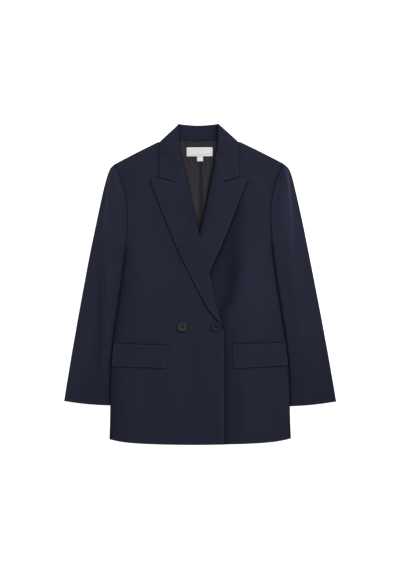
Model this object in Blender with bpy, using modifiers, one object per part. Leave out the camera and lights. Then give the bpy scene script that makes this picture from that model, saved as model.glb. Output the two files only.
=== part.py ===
"""Double breasted blazer with peak lapels, laid flat on its back.

Every piece that a maker cuts and sews on is one object: a wall of cloth through
the middle surface worked out below. X is across the garment, Y runs from the hem
to the collar and Z is up from the surface that it lies on. Fronts, lapels and
sleeves are drawn on their own half, where x grows outwards from the centre line;
hand is -1 for the wearer's right side, which overlaps, and 1 for the left.
"""

from collections import namedtuple

import bpy
import numpy as np

# All sizes are in millimetres; SCALE turns them into metres.
SCALE = 0.001

# ---- Walls and the spaces between them ----
CLOTH = 1.5                 # suiting, with what backs it
SHOULDER_CLOTH = 2.7        # front over its shoulder pad
LINING_CLOTH = 1.0
LABEL_CLOTH = 0.8
HALF = CLOTH / 2
SEAM = 0.3                  # between two pieces that are sewn together
EASE = 0.6                  # between a piece and the one that it lies on

# ---- Height of each layer's middle above the surface ----
BACK_LEVEL = HALF
FRONT_LEVEL = 4.5
SHOULDER_LOFT = 2.2         # more height over the shoulder pads
COLLAR_LIFT = 1.9           # how far the collar's back fall raises what lies on it
UNDERLAP_DIP = 1.5          # how far the underlap sinks under the other front
SLEEVE_LOFT = 5.2           # between the upper and the under sleeve
LEG = 1.9                   # height that the collar's stand adds under the fall
ROLL_RISE = 0.8             # height of the lapel's roll lower down

# ---- Outline of the body ----
HEM_LOW = -392.6            # lowest point of the hem, on the centre line
HEM_HALF = 221.6            # half the hem's width
HEM_RISE = 8.0              # gentle rise of the hem towards the sides
HEM_CORNER = 7.3            # and the quick one at its corners
OVERLAP = 60.0              # each front past the centre line
BREAK_Y = -88.0             # where the roll line meets the front edge
PIT_Y = 83.0
NECK_HALF = 62.0            # half the neck, at the shoulder seam
NECK_Y = 352.5              # neck seam at the centre back
EDGE_ROLL = 3.0             # width of the rounded side and shoulder edges
UNDER_COLLAR_GAP = 1.8      # more between back and front where the collar hides it

Spot = namedtuple("Spot", "y x")
SIDE = (
    Spot(-377.3, 221.6), Spot(-340.0, 220.2), Spot(-304.0, 219.4), Spot(-225.0, 219.3),
    Spot(-200.0, 219.8), Spot(-113.0, 225.0), Spot(-39.0, 231.0), Spot(34.0, 239.0),
    Spot(83.0, 245.0),
)
ARMHOLE = (
    Spot(83.0, 245.0), Spot(85.2, 226.0), Spot(89.0, 209.0), Spot(95.5, 195.0),
    Spot(104.5, 185.8), Spot(117.0, 179.6), Spot(133.0, 176.3), Spot(152.0, 175.2),
    Spot(175.0, 175.0), Spot(198.0, 176.3), Spot(220.0, 180.0), Spot(242.0, 185.6),
    Spot(262.0, 192.0), Spot(279.0, 199.0), Spot(289.5, 204.2),
)
ROLL_LINE = (
    Spot(-88.0, -52.4), Spot(-29.5, -38.3), Spot(0.0, -32.1), Spot(29.4, -24.9),
    Spot(58.8, -17.9), Spot(88.3, -10.2), Spot(125.8, -0.4), Spot(191.0, 15.5),
    Spot(250.0, 27.6), Spot(309.0, 40.1), Spot(338.0, 44.7), Spot(368.0, 47.0),
    Spot(388.0, 48.0),
)
SILHOUETTE = (              # outer fold of the sleeve, from the cuff to the shoulder
    Spot(-285.4, 332.6), Spot(-259.6, 328.4), Spot(-215.5, 320.7), Spot(-171.4, 313.2),
    Spot(-127.3, 305.3), Spot(-83.2, 297.4), Spot(-39.1, 289.2), Spot(5.0, 280.8),
    Spot(49.1, 272.4), Spot(107.9, 260.8), Spot(166.7, 248.7), Spot(196.1, 242.3),
    Spot(225.5, 235.7), Spot(254.9, 228.1), Spot(269.6, 223.7), Spot(284.3, 216.5),
    Spot(292.5, 207.5),
)
SLEEVE_FOLD = (             # inner fold of the sleeve, from the cuff to the armhole
    Spot(-296.5, 220.6), Spot(-279.3, 220.6), Spot(-240.1, 220.2), Spot(-200.9, 218.6),
    Spot(-161.7, 215.0), Spot(-122.5, 210.3), Spot(-83.3, 204.3), Spot(-44.1, 198.5),
    Spot(-4.9, 192.4), Spot(34.3, 187.0), Spot(73.5, 182.0), Spot(93.1, 179.8),
    Spot(117.0, 177.4), Spot(133.0, 176.6),
)
LAPEL_EDGE = (              # outer edge of the lapel, from the break to the peak
    Spot(-93.2, -49.5), Spot(-68.6, -27.9), Spot(-39.1, -9.6), Spot(-9.6, 6.9),
    Spot(19.8, 22.4), Spot(49.3, 37.0), Spot(78.8, 51.6), Spot(137.7, 75.8),
    Spot(196.6, 99.0), Spot(255.5, 119.3), Spot(258.7, 119.4),
)

# ---- Rows of the fronts and the back, from the hem to the shoulder ----
PanelRow = namedtuple("PanelRow", "inner_y outer_y roll")
PANEL = (                   # roll: how far the side edge turns under
    PanelRow(-391.8, -377.3, 1.0), PanelRow(-355.0, -340.0, 1.0), PanelRow(-304.0, -300.0, 1.0),
    PanelRow(-254.0, -254.0, 1.0), PanelRow(-208.0, -208.0, 1.0), PanelRow(-165.0, -165.0, 1.0),
    PanelRow(-128.0, -128.0, 1.0), PanelRow(-97.0, -98.0, 1.0), PanelRow(-87.0, -84.0, 1.0),
    PanelRow(-62.0, -58.0, 1.0), PanelRow(-30.0, -24.0, 1.0), PanelRow(4.0, 12.0, 1.0),
    PanelRow(36.0, 46.0, 1.0), PanelRow(62.0, 71.0, 0.6), PanelRow(78.0, 83.0, 0.0),
    PanelRow(96.0, 85.2, 0.0), PanelRow(113.0, 89.0, 0.0), PanelRow(131.0, 95.5, 0.0),
    PanelRow(149.0, 104.5, 0.0), PanelRow(168.0, 117.0, 0.0), PanelRow(188.0, 133.0, 0.0),
    PanelRow(209.0, 152.0, 0.0), PanelRow(231.0, 175.0, 0.0), PanelRow(253.0, 198.0, 0.0),
    PanelRow(275.0, 220.0, 0.0), PanelRow(297.0, 242.0, 0.0), PanelRow(318.0, 262.0, 0.0),
    PanelRow(338.0, 279.0, 0.0), PanelRow(355.5, 289.5, 0.0),
)
LAST = len(PANEL) - 1
HEM_ROWS = 2                # rows that still follow the hem
SHOULDER_ROWS = 4           # rows that follow the shoulder seam

# ---- Rows of the sleeve, from the shoulder to the cuff ----
SleeveRow = namedtuple("SleeveRow", "inner_y outer_y rise under curl")
SLEEVE = (                  # rise above the front, height beneath, turn of the inner fold
    SleeveRow(289.5, 291.5, 0.0, 0.75, 0.0), SleeveRow(279.0, 281.0, 0.0, 0.75, 0.0),
    SleeveRow(262.0, 262.5, 0.0, 0.75, 0.0), SleeveRow(242.0, 241.0, 0.0, 0.75, 0.0),
    SleeveRow(220.0, 217.5, 0.0, 0.75, 0.0), SleeveRow(198.0, 194.0, 0.0, 0.75, 0.0),
    SleeveRow(175.0, 170.0, 0.0, 0.75, 0.0), SleeveRow(152.0, 147.0, 0.2, 0.75, 0.0),
    SleeveRow(133.0, 128.0, 2.3, 0.75, 0.0), SleeveRow(117.0, 112.0, 4.3, 2.80, 0.3),
    SleeveRow(104.5, 99.0, 5.9, 5.60, 0.7), SleeveRow(92.0, 86.0, 6.9, 6.50, 0.95),
    SleeveRow(72.0, 66.0, 7.2, 6.50, 1.0), SleeveRow(40.0, 34.0, 7.2, 6.50, 1.0),
    SleeveRow(4.0, -2.0, 7.2, 6.50, 1.0), SleeveRow(-35.0, -40.0, 7.2, 6.50, 1.0),
    SleeveRow(-75.0, -80.0, 7.2, 6.50, 1.0), SleeveRow(-115.0, -121.0, 7.2, 6.50, 1.0),
    SleeveRow(-155.0, -163.0, 7.2, 6.50, 1.0), SleeveRow(-195.0, -203.0, 7.2, 6.50, 1.0),
    SleeveRow(-226.0, -230.0, 6.6, 5.90, 1.0), SleeveRow(-262.0, -258.0, 3.0, 2.30, 1.0),
    SleeveRow(-296.5, -285.4, 1.45, 0.75, 1.0),
)
SLEEVE_ROLL = 3.4           # width of the sleeve's rounded folds
CUFF_BOW = 2.1
CUFF_ROWS = 3               # rows that take up the cuff's bow

# ---- Lapels and collar ----
LAPEL_ROLL = 3.2            # width of the rounded roll, of the collar's too
NOTCH = (60.0, 250.7)       # where collar and lapel part
GORGE_TOP = (38.6, 303.0)   # top of the gorge seam, on the roll line
PEAK_Y = 258.7
LAPEL_LOW = (-82.0, -88.0)  # lowest row of the lapel: y on the roll line and on the edge
GORGE_GAP = 0.4
COLLAR_POINT = (99.0, 261.2)
COLLAR_BULGE = 1.6          # outward bow of the collar's outer edge in front
FOLD_TOP = (47.8, 392.2)    # the collar is folded over the shoulder from here
FOLD_LOW = (90.6, 352.6)    # to here
FOLD_ROLL = 4.4             # width of that fold
BACK_ROLL_Y = 388.6         # roll at the centre back
BACK_ROLL_RISE = 4.4        # more at its ends
FALL_Y = 339.0              # lower edge of the fall at the centre back
FOLD_DEPTH = 24.0           # the stand's depth where it is folded over
STAND_LEG = 8.0             # and at its front ends
FRONT_SHARES = (0.0, 0.1, 0.22, 0.36, 0.52, 0.70, 0.88)
BACK_SHARES = (0.12, 0.3, 0.5, 0.75, 1.0)

# ---- Pockets, buttons and what shows in the neck ----
Pocket = namedtuple("Pocket", "name hand inner_top inner_low outer_top outer_low")
POCKETS = (
    Pocket("right", -1, (75.7, -148.9), (79.9, -205.4), (211.0, -143.4), (215.6, -199.3)),
    Pocket("left", 1, (82.3, -146.8), (85.5, -207.3), (211.0, -143.1), (215.6, -200.7)),
)
JET_HEIGHT = 6.0
FLAP_CORNER = 5.0
BUTTON_X = 41.0
BUTTON_Y = -103.5
BUTTON_RADIUS = 11.3
BUTTON_PROFILE = (          # (radius share, height), from the top's middle to the bottom's
    (0.0, 2.3), (0.50, 2.3), (0.64, 3.3), (0.82, 3.6), (0.97, 2.9),
    (1.0, 1.8), (0.90, 0.7), (0.60, 0.0), (0.0, 0.0),
)
BUTTON_SHANK = 1.0          # thread between the button and the cloth
HOLE_RADIUS = 1.15
HOLE_SPACE = 2.5            # from the middle, along X and Y
LINING_LOW = 104.0
LINING_MARGIN = 20.0        # lining that lies under the fronts
PLEAT_X = 3.0
PLEAT_STEP = 0.4

Patch = namedtuple("Patch", "x y width height")
LABEL = Patch(3.2, 323.6, 65.6, 23.8)
SIZE_TAB = Patch(3.8, 305.3, 16.0, 12.0)

# ---- Finishes: colour, roughness, metallic ----
NAVY = ("navy_suiting", (0.0185, 0.0212, 0.0382), 0.86, 0.0)
CHARCOAL = ("charcoal_lining", (0.030, 0.029, 0.036), 0.42, 0.0)
SATIN = ("label_satin", (0.80, 0.80, 0.79), 0.60, 0.0)
HORN = ("button_plastic", (0.022, 0.021, 0.022), 0.38, 0.0)


# ---- Numbers ----
def ramp(value, start, end):
    """0 before start, 1 after end and a smooth rise between; start may be the larger."""
    share = np.clip((value - start) / (end - start), 0.0, 1.0)
    return share * share * (3.0 - 2.0 * share)


def mix(start, end, share):
    return start + (end - start) * share


def smooth_curve(at, spots):
    """x of a smooth curve through spots, read at y; it never overshoots a spot."""
    knots = np.array([spot.y for spot in spots])
    values = np.array([spot.x for spot in spots])
    steps = np.diff(knots)
    slopes = np.diff(values) / steps
    product = slopes[:-1] * slopes[1:]
    total = slopes[:-1] + slopes[1:]
    total = np.where(np.abs(total) > 1e-9, total, 1.0)
    middle = np.where(product > 0.0, 2.0 * product / total, 0.0)
    tangents = np.concatenate([slopes[:1], middle, slopes[-1:]])
    at = np.clip(np.asarray(at, float), knots[0], knots[-1])
    piece = np.clip(np.searchsorted(knots, at, side="right") - 1, 0, len(steps) - 1)
    t = (at - knots[piece]) / steps[piece]
    curve = mix(values[piece], values[piece + 1], t * t * (3.0 - 2.0 * t))
    curve = curve + tangents[piece] * steps[piece] * t * (1.0 - t) ** 2
    return curve + tangents[piece + 1] * steps[piece] * t * t * (t - 1.0)


def table(rows, name):
    """One named column of a table, as an array."""
    return np.array([getattr(row, name) for row in rows])


def half_turn(edge, outward, width, low, share=1.0):
    """An edge carried out by width and round to the height low, in four steps.

    share says how much of the turn is made; at 0 the steps stay level.
    """
    steps = []
    for angle in np.radians([45.0, 90.0, 135.0, 180.0]):
        reach = width * mix(angle / np.pi, np.sin(angle), share)
        level = mix(edge[:, 2], low, share * (1.0 - np.cos(angle)) / 2)
        plan = edge[:, :2] + np.asarray(outward) * np.reshape(reach, (-1, 1))
        steps.append(np.column_stack([plan, level]))
    return np.array(steps)


# ---- The outline ----
def hem_y(x):
    share = np.abs(x) / HEM_HALF
    return HEM_LOW + HEM_RISE * share**2 + HEM_CORNER * share**8


def shoulder_y(x):
    """Silhouette of the shoulder, drawn in a little where the collar wraps round it."""
    out = np.abs(x) - 91.5
    under_collar = 3.6 * (1.0 - ramp(np.abs(x), 86.0, 102.0))
    return 351.8 - 0.47 * out - 0.0003 * out * out - under_collar


def back_top_y(x):
    """Top of the back: the neck seam, then the shoulder seam."""
    shoulder = shoulder_y(np.maximum(np.abs(x), NECK_HALF)) - EDGE_ROLL - 2 * SEAM
    shoulder = shoulder - UNDER_COLLAR_GAP * (1.0 - ramp(np.abs(x), 90.0, 125.0))
    neck = mix(NECK_Y, shoulder, (np.abs(x) / NECK_HALF) ** 2)
    return np.where(np.abs(x) < NECK_HALF, neck, shoulder)


def front_inner_x(y):
    """Inner edge of a front: front edge, roll line, then the neck seam under the collar."""
    roll = smooth_curve(y, ROLL_LINE) + LAPEL_ROLL + 2 * SEAM
    neck = mix(roll, NECK_HALF, ramp(y, GORGE_TOP[1], 352.0))
    return np.where(y < BREAK_Y - 6.0, -OVERLAP, neck)


# ---- Height of the layers ----
def padding(x, y):
    """1 over the shoulder pad and 0 away from it."""
    return ramp(y - shoulder_y(x), -75.0, -12.0)


def lift(x, y):
    """Rise of everything that lies on the collar's back fall."""
    return COLLAR_LIFT * ramp(y, 308.0, 332.0) * (1.0 - ramp(np.abs(x), 92.0, 126.0))


def back_middle(x, y):
    return BACK_LEVEL + lift(x, y)


def front_level(x, y):
    return FRONT_LEVEL + SHOULDER_LOFT * padding(x, y) + lift(x, y)


def front_half(x, y):
    """Half the front's thickness."""
    return mix(CLOTH, SHOULDER_CLOTH, padding(x, y)) / 2


def dip(x, y):
    """How far the underlap sinks beside and under the other front's edge."""
    across = 1.0 - ramp(x, 74.0, 104.0)
    along = (1.0 - 0.85 * ramp(y, 30.0, 100.0)) * (1.0 - ramp(y, 150.0, 230.0))
    return UNDERLAP_DIP * across * along


def overlap_rise(x, y):
    """Rise of the overlapping front above the underlap and its lapel, in its own half."""
    roll = np.where(y < BREAK_Y, OVERLAP, -smooth_curve(y, ROLL_LINE))
    edge = -smooth_curve(y, LAPEL_EDGE)
    on_underlap = 1.0 - ramp(x - roll, 12.0, 42.0)
    on_lapel = ramp(x - edge, -40.0, -12.0) * ramp(y, BREAK_Y - 34.0, BREAK_Y - 4.0)
    layers = CLOTH + 0.5 - dip(-x, y) + (EASE + CLOTH + ROLL_RISE) * on_lapel
    return layers * on_underlap * (1.0 - ramp(y, 230.0, 290.0))


def front_middle(x, y, hand):
    if hand < 0:
        return front_level(x, y) + overlap_rise(x, y)
    return front_level(x, y) - dip(x, y)


def crown(x, y):
    """Soft rise of the lapel and the collar beside the roll line."""
    height = mix(ROLL_RISE, LEG + 0.4, ramp(y, 180.0, 290.0))
    start = mix(14.0, 40.0, ramp(y, 300.0, 370.0))
    return height * (1.0 - ramp(x - smooth_curve(y, ROLL_LINE), start, start + 28.0))


def turned_middle(x, y, hand):
    """Height of a lapel's or the collar's middle, above the front that it lies on."""
    return front_middle(x, y, hand) + front_half(x, y) + EASE + HALF + crown(x, y)


def lining_middle(x, y):
    pleat = PLEAT_STEP * ramp(x, PLEAT_X - 5.0, PLEAT_X + 5.0)
    return back_middle(x, y) + HALF + 0.35 + LINING_CLOTH / 2 + pleat


# ---- Objects ----
def finish(description):
    """The Principled material of this name, made once."""
    name, color, roughness, metallic = description
    material = bpy.data.materials.get(name)
    if material is None:
        material = bpy.data.materials.new(name)
        material.use_nodes = True
        shader = material.node_tree.nodes["Principled BSDF"]
        shader.inputs["Base Color"].default_value = (*color, 1.0)
        shader.inputs["Roughness"].default_value = roughness
        shader.inputs["Metallic"].default_value = metallic
    return material


def new_object(name, mesh, description, parent):
    mesh.materials.append(finish(description))
    mesh.shade_smooth()
    obj = bpy.data.objects.new(name, mesh)
    parent.users_collection[0].objects.link(obj)
    obj.parent = parent
    return obj


def cloth(name, points, description, parent, hand=1, wall=CLOTH, thick=None):
    """A piece of cloth: a grid of middle points in its own half, given its wall.

    Where thick is given, it holds each point's share of the way from CLOTH to wall.
    """
    rows, columns = points.shape[:2]
    places = points.reshape(-1, 3) * (hand * SCALE, SCALE, SCALE)
    number = np.arange(rows * columns).reshape(rows, columns)
    corners = (number[:-1, :-1], number[:-1, 1:], number[1:, 1:], number[1:, :-1])
    faces = np.stack(corners, axis=-1).reshape(-1, 4)
    mesh = bpy.data.meshes.new(name)
    mesh.from_pydata(places.tolist(), [], faces.tolist())
    obj = new_object(name, mesh, description, parent)
    solid = obj.modifiers.new("wall", "SOLIDIFY")
    solid.thickness = wall * SCALE
    solid.offset = 0.0
    if thick is not None:
        group = obj.vertex_groups.new(name="padded")
        for index, share in enumerate(thick.reshape(-1).tolist()):
            group.add([index], share, "REPLACE")
        solid.vertex_group = group.name
        solid.thickness_vertex_group = CLOTH / wall
    return obj


def grid(x, y, z):
    return np.stack(np.broadcast_arrays(x, y, z), axis=-1)


# ---- Body ----
def panel_plan(inner_x, inner_y, share, top_y, inset):
    """Plan of a panel's points: straight rows, bent to the hem below and to top_y above."""
    outer_y = table(PANEL, "outer_y")
    side = smooth_curve(outer_y, SIDE)
    outer_x = np.where(outer_y < PIT_Y, side, smooth_curve(outer_y, ARMHOLE)) - inset
    x = mix(inner_x[:, None], outer_x[:, None], share)
    y = mix(inner_y[:, None], outer_y[:, None], share)
    row = np.arange(len(PANEL))[:, None]
    to_hem = (hem_y(x[0]) - y[0]) * (1.0 - ramp(row, 0.0, HEM_ROWS))
    to_top = (top_y(x[-1]) - y[-1]) * ramp(row, LAST - SHOULDER_ROWS, LAST)
    return x, y + to_hem + to_top


def build_front(name, hand, parent):
    inner_y = table(PANEL, "inner_y")
    share = np.concatenate([np.linspace(0.0, 0.55, 10), np.linspace(0.55, 1.0, 6)[1:]])
    x, y = panel_plan(
        front_inner_x(inner_y), inner_y, share, lambda at: shoulder_y(at) - EDGE_ROLL, EDGE_ROLL
    )
    points = grid(x, y, front_middle(x, y, hand))
    side = half_turn(points[:, -1], (1.0, 0.0), EDGE_ROLL, BACK_LEVEL, table(PANEL, "roll"))
    points = np.concatenate([points, side.transpose(1, 0, 2)], axis=1)
    low = back_middle(points[-1, :, 0], points[-1, :, 1])
    shoulder = half_turn(points[-1], (0.43, 0.90), EDGE_ROLL, low)
    thick = padding(points[..., 0], points[..., 1])
    fading = thick[-1] * np.array([0.7, 0.3, 0.1, 0.0])[:, None]
    points = np.concatenate([points, shoulder], axis=0)
    thick = np.concatenate([thick, fading], axis=0)
    return cloth(name, points, NAVY, parent, hand, SHOULDER_CLOTH, thick)


def build_back(parent):
    inner_y = table(PANEL, "inner_y")
    inner_y = inner_y + (NECK_Y - inner_y[-1]) * ramp(np.arange(len(PANEL)), LAST - 8, LAST)
    inset = (EDGE_ROLL + SEAM) * table(PANEL, "roll")
    centre = np.zeros(len(PANEL))
    x, y = panel_plan(centre, inner_y, np.linspace(0.0, 1.0, 9), back_top_y, inset)
    x = np.concatenate([-x[:, :0:-1], x], axis=1)
    y = np.concatenate([y[:, :0:-1], y], axis=1)
    return cloth("back", grid(x, y, back_middle(x, y)), NAVY, parent)


def build_lining(parent):
    """Back lining, where it shows between the fronts, with its pleat."""
    share = np.linspace(0.0, 1.0, 13)[:, None]
    y = mix(LINING_LOW, NECK_Y - SEAM, share)
    half = np.minimum(np.maximum(smooth_curve(y, ROLL_LINE), 4.0) + LINING_MARGIN, 58.0)
    x = half * np.linspace(-1.0, 1.0, 13)
    y = y + (back_top_y(x) - NECK_Y) * ramp(share, 0.6, 1.0)
    points = grid(x, y, lining_middle(x, y))
    return cloth("back_lining", points, CHARCOAL, parent, wall=LINING_CLOTH)


def build_patch(name, patch, parent):
    """A small woven patch on the lining."""
    x = patch.x + patch.width * np.linspace(-0.5, 0.5, 7)[None, :]
    y = patch.y + patch.height * np.linspace(-0.5, 0.5, 4)[:, None]
    z = lining_middle(x, y) + (LINING_CLOTH + LABEL_CLOTH) / 2 + EASE
    return cloth(name, grid(x, y, z), SATIN, parent, wall=LABEL_CLOTH)


# ---- Sleeves ----
def sleeve_plan():
    """Inner and outer points of the sleeve's rows: (inner x, inner y, outer x, outer y)."""
    inner_y = table(SLEEVE, "inner_y")
    outer_y = table(SLEEVE, "outer_y")
    sewn = smooth_curve(inner_y, ARMHOLE) + SEAM
    inner_x = np.where(inner_y > 132.0, sewn, smooth_curve(inner_y, SLEEVE_FOLD))
    return inner_x, inner_y, smooth_curve(outer_y, SILHOUETTE), outer_y


def sleeve_heights(share):
    """Heights of the under and the upper sleeve, share of the way across each row."""
    inner_x, inner_y, outer_x, _ = sleeve_plan()
    side = np.where(inner_y < PIT_Y + 12.0, smooth_curve(inner_y, SIDE), inner_x + 10.0)
    start = np.clip((side + 5.0 - inner_x) / (outer_x - inner_x), 0.0, 0.78)[:, None]
    under = table(SLEEVE, "under")
    top = front_level(inner_x, inner_y) + table(SLEEVE, "rise")
    low = mix(under[:, None], BACK_LEVEL, ramp(share, start, np.minimum(start + 0.30, 0.92)))
    apart = mix((top - under)[:, None], SLEEVE_LOFT, ramp(share, 0.0, 0.7))
    return low, low + apart


def sleeve_points(share, upper):
    """Points of the upper or the under sleeve, share (rows, columns) across it."""
    inner_x, inner_y, outer_x, outer_y = (values[:, None] for values in sleeve_plan())
    row = np.arange(len(SLEEVE))[:, None]
    bow = CUFF_BOW * ramp(row, len(SLEEVE) - 1 - CUFF_ROWS, len(SLEEVE) - 1)
    x = mix(inner_x, outer_x, share)
    y = mix(inner_y, outer_y, share) - bow * 4.0 * share * (1.0 - share)
    return grid(x, y, sleeve_heights(share)[1 if upper else 0])


def sleeve_roll():
    """Width of each row's folds, narrower where the row is short."""
    inner_x, _, outer_x, _ = sleeve_plan()
    return np.minimum(SLEEVE_ROLL, 0.3 * (outer_x - inner_x)), outer_x - inner_x


def build_upper_sleeve(name, hand, parent):
    roll, width = sleeve_roll()
    curl = table(SLEEVE, "curl")
    margin = (roll / width)[:, None]
    share = margin + np.linspace(0.0, 1.0, 9) * (1.0 - 2.0 * margin)
    top = sleeve_points(share, True)
    under = sleeve_points(share, False)
    inner = half_turn(top[:, 0], (-1.0, 0.0), roll, under[:, 0, 2], curl)
    outer = half_turn(top[:, -1], (1.0, 0.0), roll, under[:, -1, 2])
    columns = [inner[::-1].transpose(1, 0, 2), top, outer.transpose(1, 0, 2)]
    return cloth(name, np.concatenate(columns, axis=1), NAVY, parent, hand)


def build_under_sleeve(name, hand, parent):
    roll, width = sleeve_roll()
    inner_x, inner_y, _, _ = sleeve_plan()
    armhole = smooth_curve(inner_y, ARMHOLE) - inner_x + 4 * SEAM
    sewn = table(SLEEVE, "curl") == 0.0
    turned = np.maximum(roll + SEAM, np.where(inner_y > 90.0, armhole, 0.0))
    start = (np.where(sewn, 0.0, turned) / width)[:, None]
    end = 1.0 - ((roll + 3 * SEAM) / width)[:, None]
    points = sleeve_points(mix(start, end, np.linspace(0.0, 1.0, 8)), False)
    return cloth(name, points, NAVY, parent, hand)


# ---- Lapels ----
def build_lapel(name, hand, parent):
    share = np.linspace(0.0, 1.0, 17)[:, None]
    roll_y = mix(GORGE_TOP[1] - GORGE_GAP / 2, LAPEL_LOW[0], share)
    edge_y = mix(PEAK_Y, LAPEL_LOW[1], share)
    start_x = smooth_curve(roll_y, ROLL_LINE) + LAPEL_ROLL
    end_x = smooth_curve(edge_y, LAPEL_EDGE)
    kink = float((NOTCH[0] - start_x[0, 0]) / (end_x[0, 0] - start_x[0, 0]))
    across = np.concatenate([np.linspace(0.0, kink, 4), np.linspace(kink, 1.0, 7)[1:]])
    x = mix(start_x, end_x, across)
    y = mix(roll_y, edge_y, across)
    sag = mix(GORGE_TOP[1], PEAK_Y, kink) - NOTCH[1]
    tent = np.where(across < kink, across / kink, (1.0 - across) / (1.0 - kink))
    y = y - sag * tent * (1.0 - ramp(share, 0.0, 0.4))
    points = grid(x, y, turned_middle(x, y, hand))
    low = front_middle(x[:, 0], y[:, 0], hand)
    roll = half_turn(points[:, 0], (-1.0, 0.0), LAPEL_ROLL, low)
    points = np.concatenate([roll[::-1].transpose(1, 0, 2), points], axis=1)
    return cloth(name, points, NAVY, parent, hand)


# ---- Collar ----
CollarRow = namedtuple("CollarRow", "edge outer turn kink")


def unit(vector):
    return vector / np.linalg.norm(vector)


def collar_rows():
    """Rows across the collar on one half, from its front end to the centre back.

    Each has its point on the roll line, its outer point and its turn: 0 on the
    front, 180 on the back, and between them where it is folded over the shoulder.
    """
    fold_top = np.array(FOLD_TOP)
    fold_low = np.array(FOLD_LOW)
    along = unit(fold_low - fold_top)
    outward = np.array([-along[1], along[0]])
    start_top = fold_top - outward * FOLD_ROLL
    start_low = fold_low - outward * FOLD_ROLL
    rows = []
    for share in FRONT_SHARES:
        edge_y = mix(GORGE_TOP[1] + GORGE_GAP / 2, start_top[1], share)
        edge = np.array([float(smooth_curve(edge_y, ROLL_LINE)), edge_y])
        edge[0] = min(edge[0], mix(GORGE_TOP[0] + 8.0, start_top[0], share))
        outer = mix(np.array(COLLAR_POINT), start_low, share)
        outer[0] += COLLAR_BULGE * 4.0 * share * (1.0 - share)
        rows.append(CollarRow(edge, outer, 0.0, 1.0 - float(ramp(share, 0.0, 0.5))))
    for angle in np.radians([0.0, 45.0, 90.0, 135.0, 180.0]):
        reach = outward * FOLD_ROLL * np.sin(angle)
        rows.append(CollarRow(start_top + reach, start_low + reach, angle, 0.0))
    for share in BACK_SHARES:
        edge_x = start_top[0] * (1.0 - share)
        curve = BACK_ROLL_Y + BACK_ROLL_RISE * (edge_x / FOLD_TOP[0]) ** 2
        edge = np.array([edge_x, curve])
        rise = (start_low[1] - FALL_Y) * (1.0 - share) ** 2
        outer = np.array([start_low[0] * (1.0 - share), FALL_Y + rise])
        rows.append(CollarRow(edge, outer, np.pi, 0.0))
    return rows, outward


def collar_side(row, outward):
    """Direction out of the collar's right side, in X, Y and Z."""
    return np.array([*(outward * np.sin(row.turn)), np.cos(row.turn)])


def on_collar(row, plan):
    """Plan points of a row, given their height on the fall's middle."""
    front = turned_middle(plan[:, 0], plan[:, 1], 1)
    height = mix(front, HALF, (1.0 - np.cos(row.turn)) / 2)
    return np.column_stack([plan, height])


def build_collar_fall(parent):
    rows, outward = collar_rows()
    lines = []
    for row in rows:
        down = unit(mix(unit(row.outer - row.edge), np.array([1.0, 0.0]), row.kink))
        start = row.edge + down * LAPEL_ROLL
        notch = float((NOTCH[0] - start[0]) / (row.outer[0] - start[0])) if row.kink else 0.35
        notch = float(np.clip(notch, 0.1, 0.6))
        across = np.concatenate([np.linspace(0.0, notch, 3), np.linspace(notch, 1.0, 5)[1:]])
        plan = mix(start, row.outer, across[:, None])
        sag = mix(GORGE_TOP[1], COLLAR_POINT[1], 0.354) - NOTCH[1] - GORGE_GAP
        tent = np.where(across < notch, across / notch, (1.0 - across) / (1.0 - notch))
        plan[:, 1] -= sag * row.kink * tent
        flat = on_collar(row, plan)
        side = collar_side(row, outward)
        roll = []
        for angle in np.radians([180.0, 135.0, 90.0, 45.0]):
            point = flat[0] - side * LEG * (1.0 - np.cos(angle)) / 2
            point[:2] -= down * LAPEL_ROLL * np.sin(angle)
            roll.append(point)
        lines.append(np.concatenate([np.array(roll), flat]))
    half = np.array(lines)
    return cloth("collar_fall", both_halves(half), NAVY, parent)


def build_collar_stand(parent):
    """The stand lies on the fall's wrong side, from the roll to the neck seam."""
    rows, outward = collar_rows()
    lines = []
    for number, row in enumerate(rows[1:], start=1):
        down = unit(row.outer - row.edge)
        start = row.edge + down * (LAPEL_ROLL + 4 * SEAM)
        if number < len(FRONT_SHARES):
            depth = mix(STAND_LEG, FOLD_DEPTH, FRONT_SHARES[number])
            low = start + down * depth
        elif number < len(FRONT_SHARES) + 5:
            low = start + down * FOLD_DEPTH
        else:
            low_x = row.edge[0] * 1.27
            low = np.array([low_x, float(back_top_y(low_x)) + SEAM])
        plan = mix(start, low, np.linspace(0.0, 1.0, 4)[:, None])
        lines.append(on_collar(row, plan) - collar_side(row, outward) * (LEG + 0.15))
    return cloth("collar_stand", both_halves(np.array(lines)), NAVY, parent)


def both_halves(half):
    """Rows of one half, then those of the other in reverse; the last row is the middle."""
    other = half[-2::-1] * (-1.0, 1.0, 1.0)
    return np.concatenate([half, other])


# ---- Pockets ----
def pocket_strip(pocket, top, low, corner):
    """Plan of a strip between two edges of a pocket, its lower corners rounded."""
    length = np.linalg.norm(top[1] - top[0])
    near = np.array([0.0, 0.3, 1.0]) * FLAP_CORNER / length
    share = np.concatenate([near, np.linspace(near[-1], 1.0 - near[-1], 9)[1:-1], 1.0 - near[::-1]])
    down = np.linspace(0.0, 1.0, 5 if corner else 2)[:, None]
    upper = mix(top[0], top[1], share[:, None])
    lower = mix(low[0], low[1], share[:, None])
    from_end = np.minimum(share, 1.0 - share) * length / FLAP_CORNER
    cut = FLAP_CORNER * (1.0 - np.sqrt(1.0 - np.clip(1.0 - from_end, 0.0, 1.0) ** 2))
    lower[:, 1] += cut * corner
    x = mix(upper[:, 0], lower[:, 0], down)
    y = mix(upper[:, 1], lower[:, 1], down)
    return x, y


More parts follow.
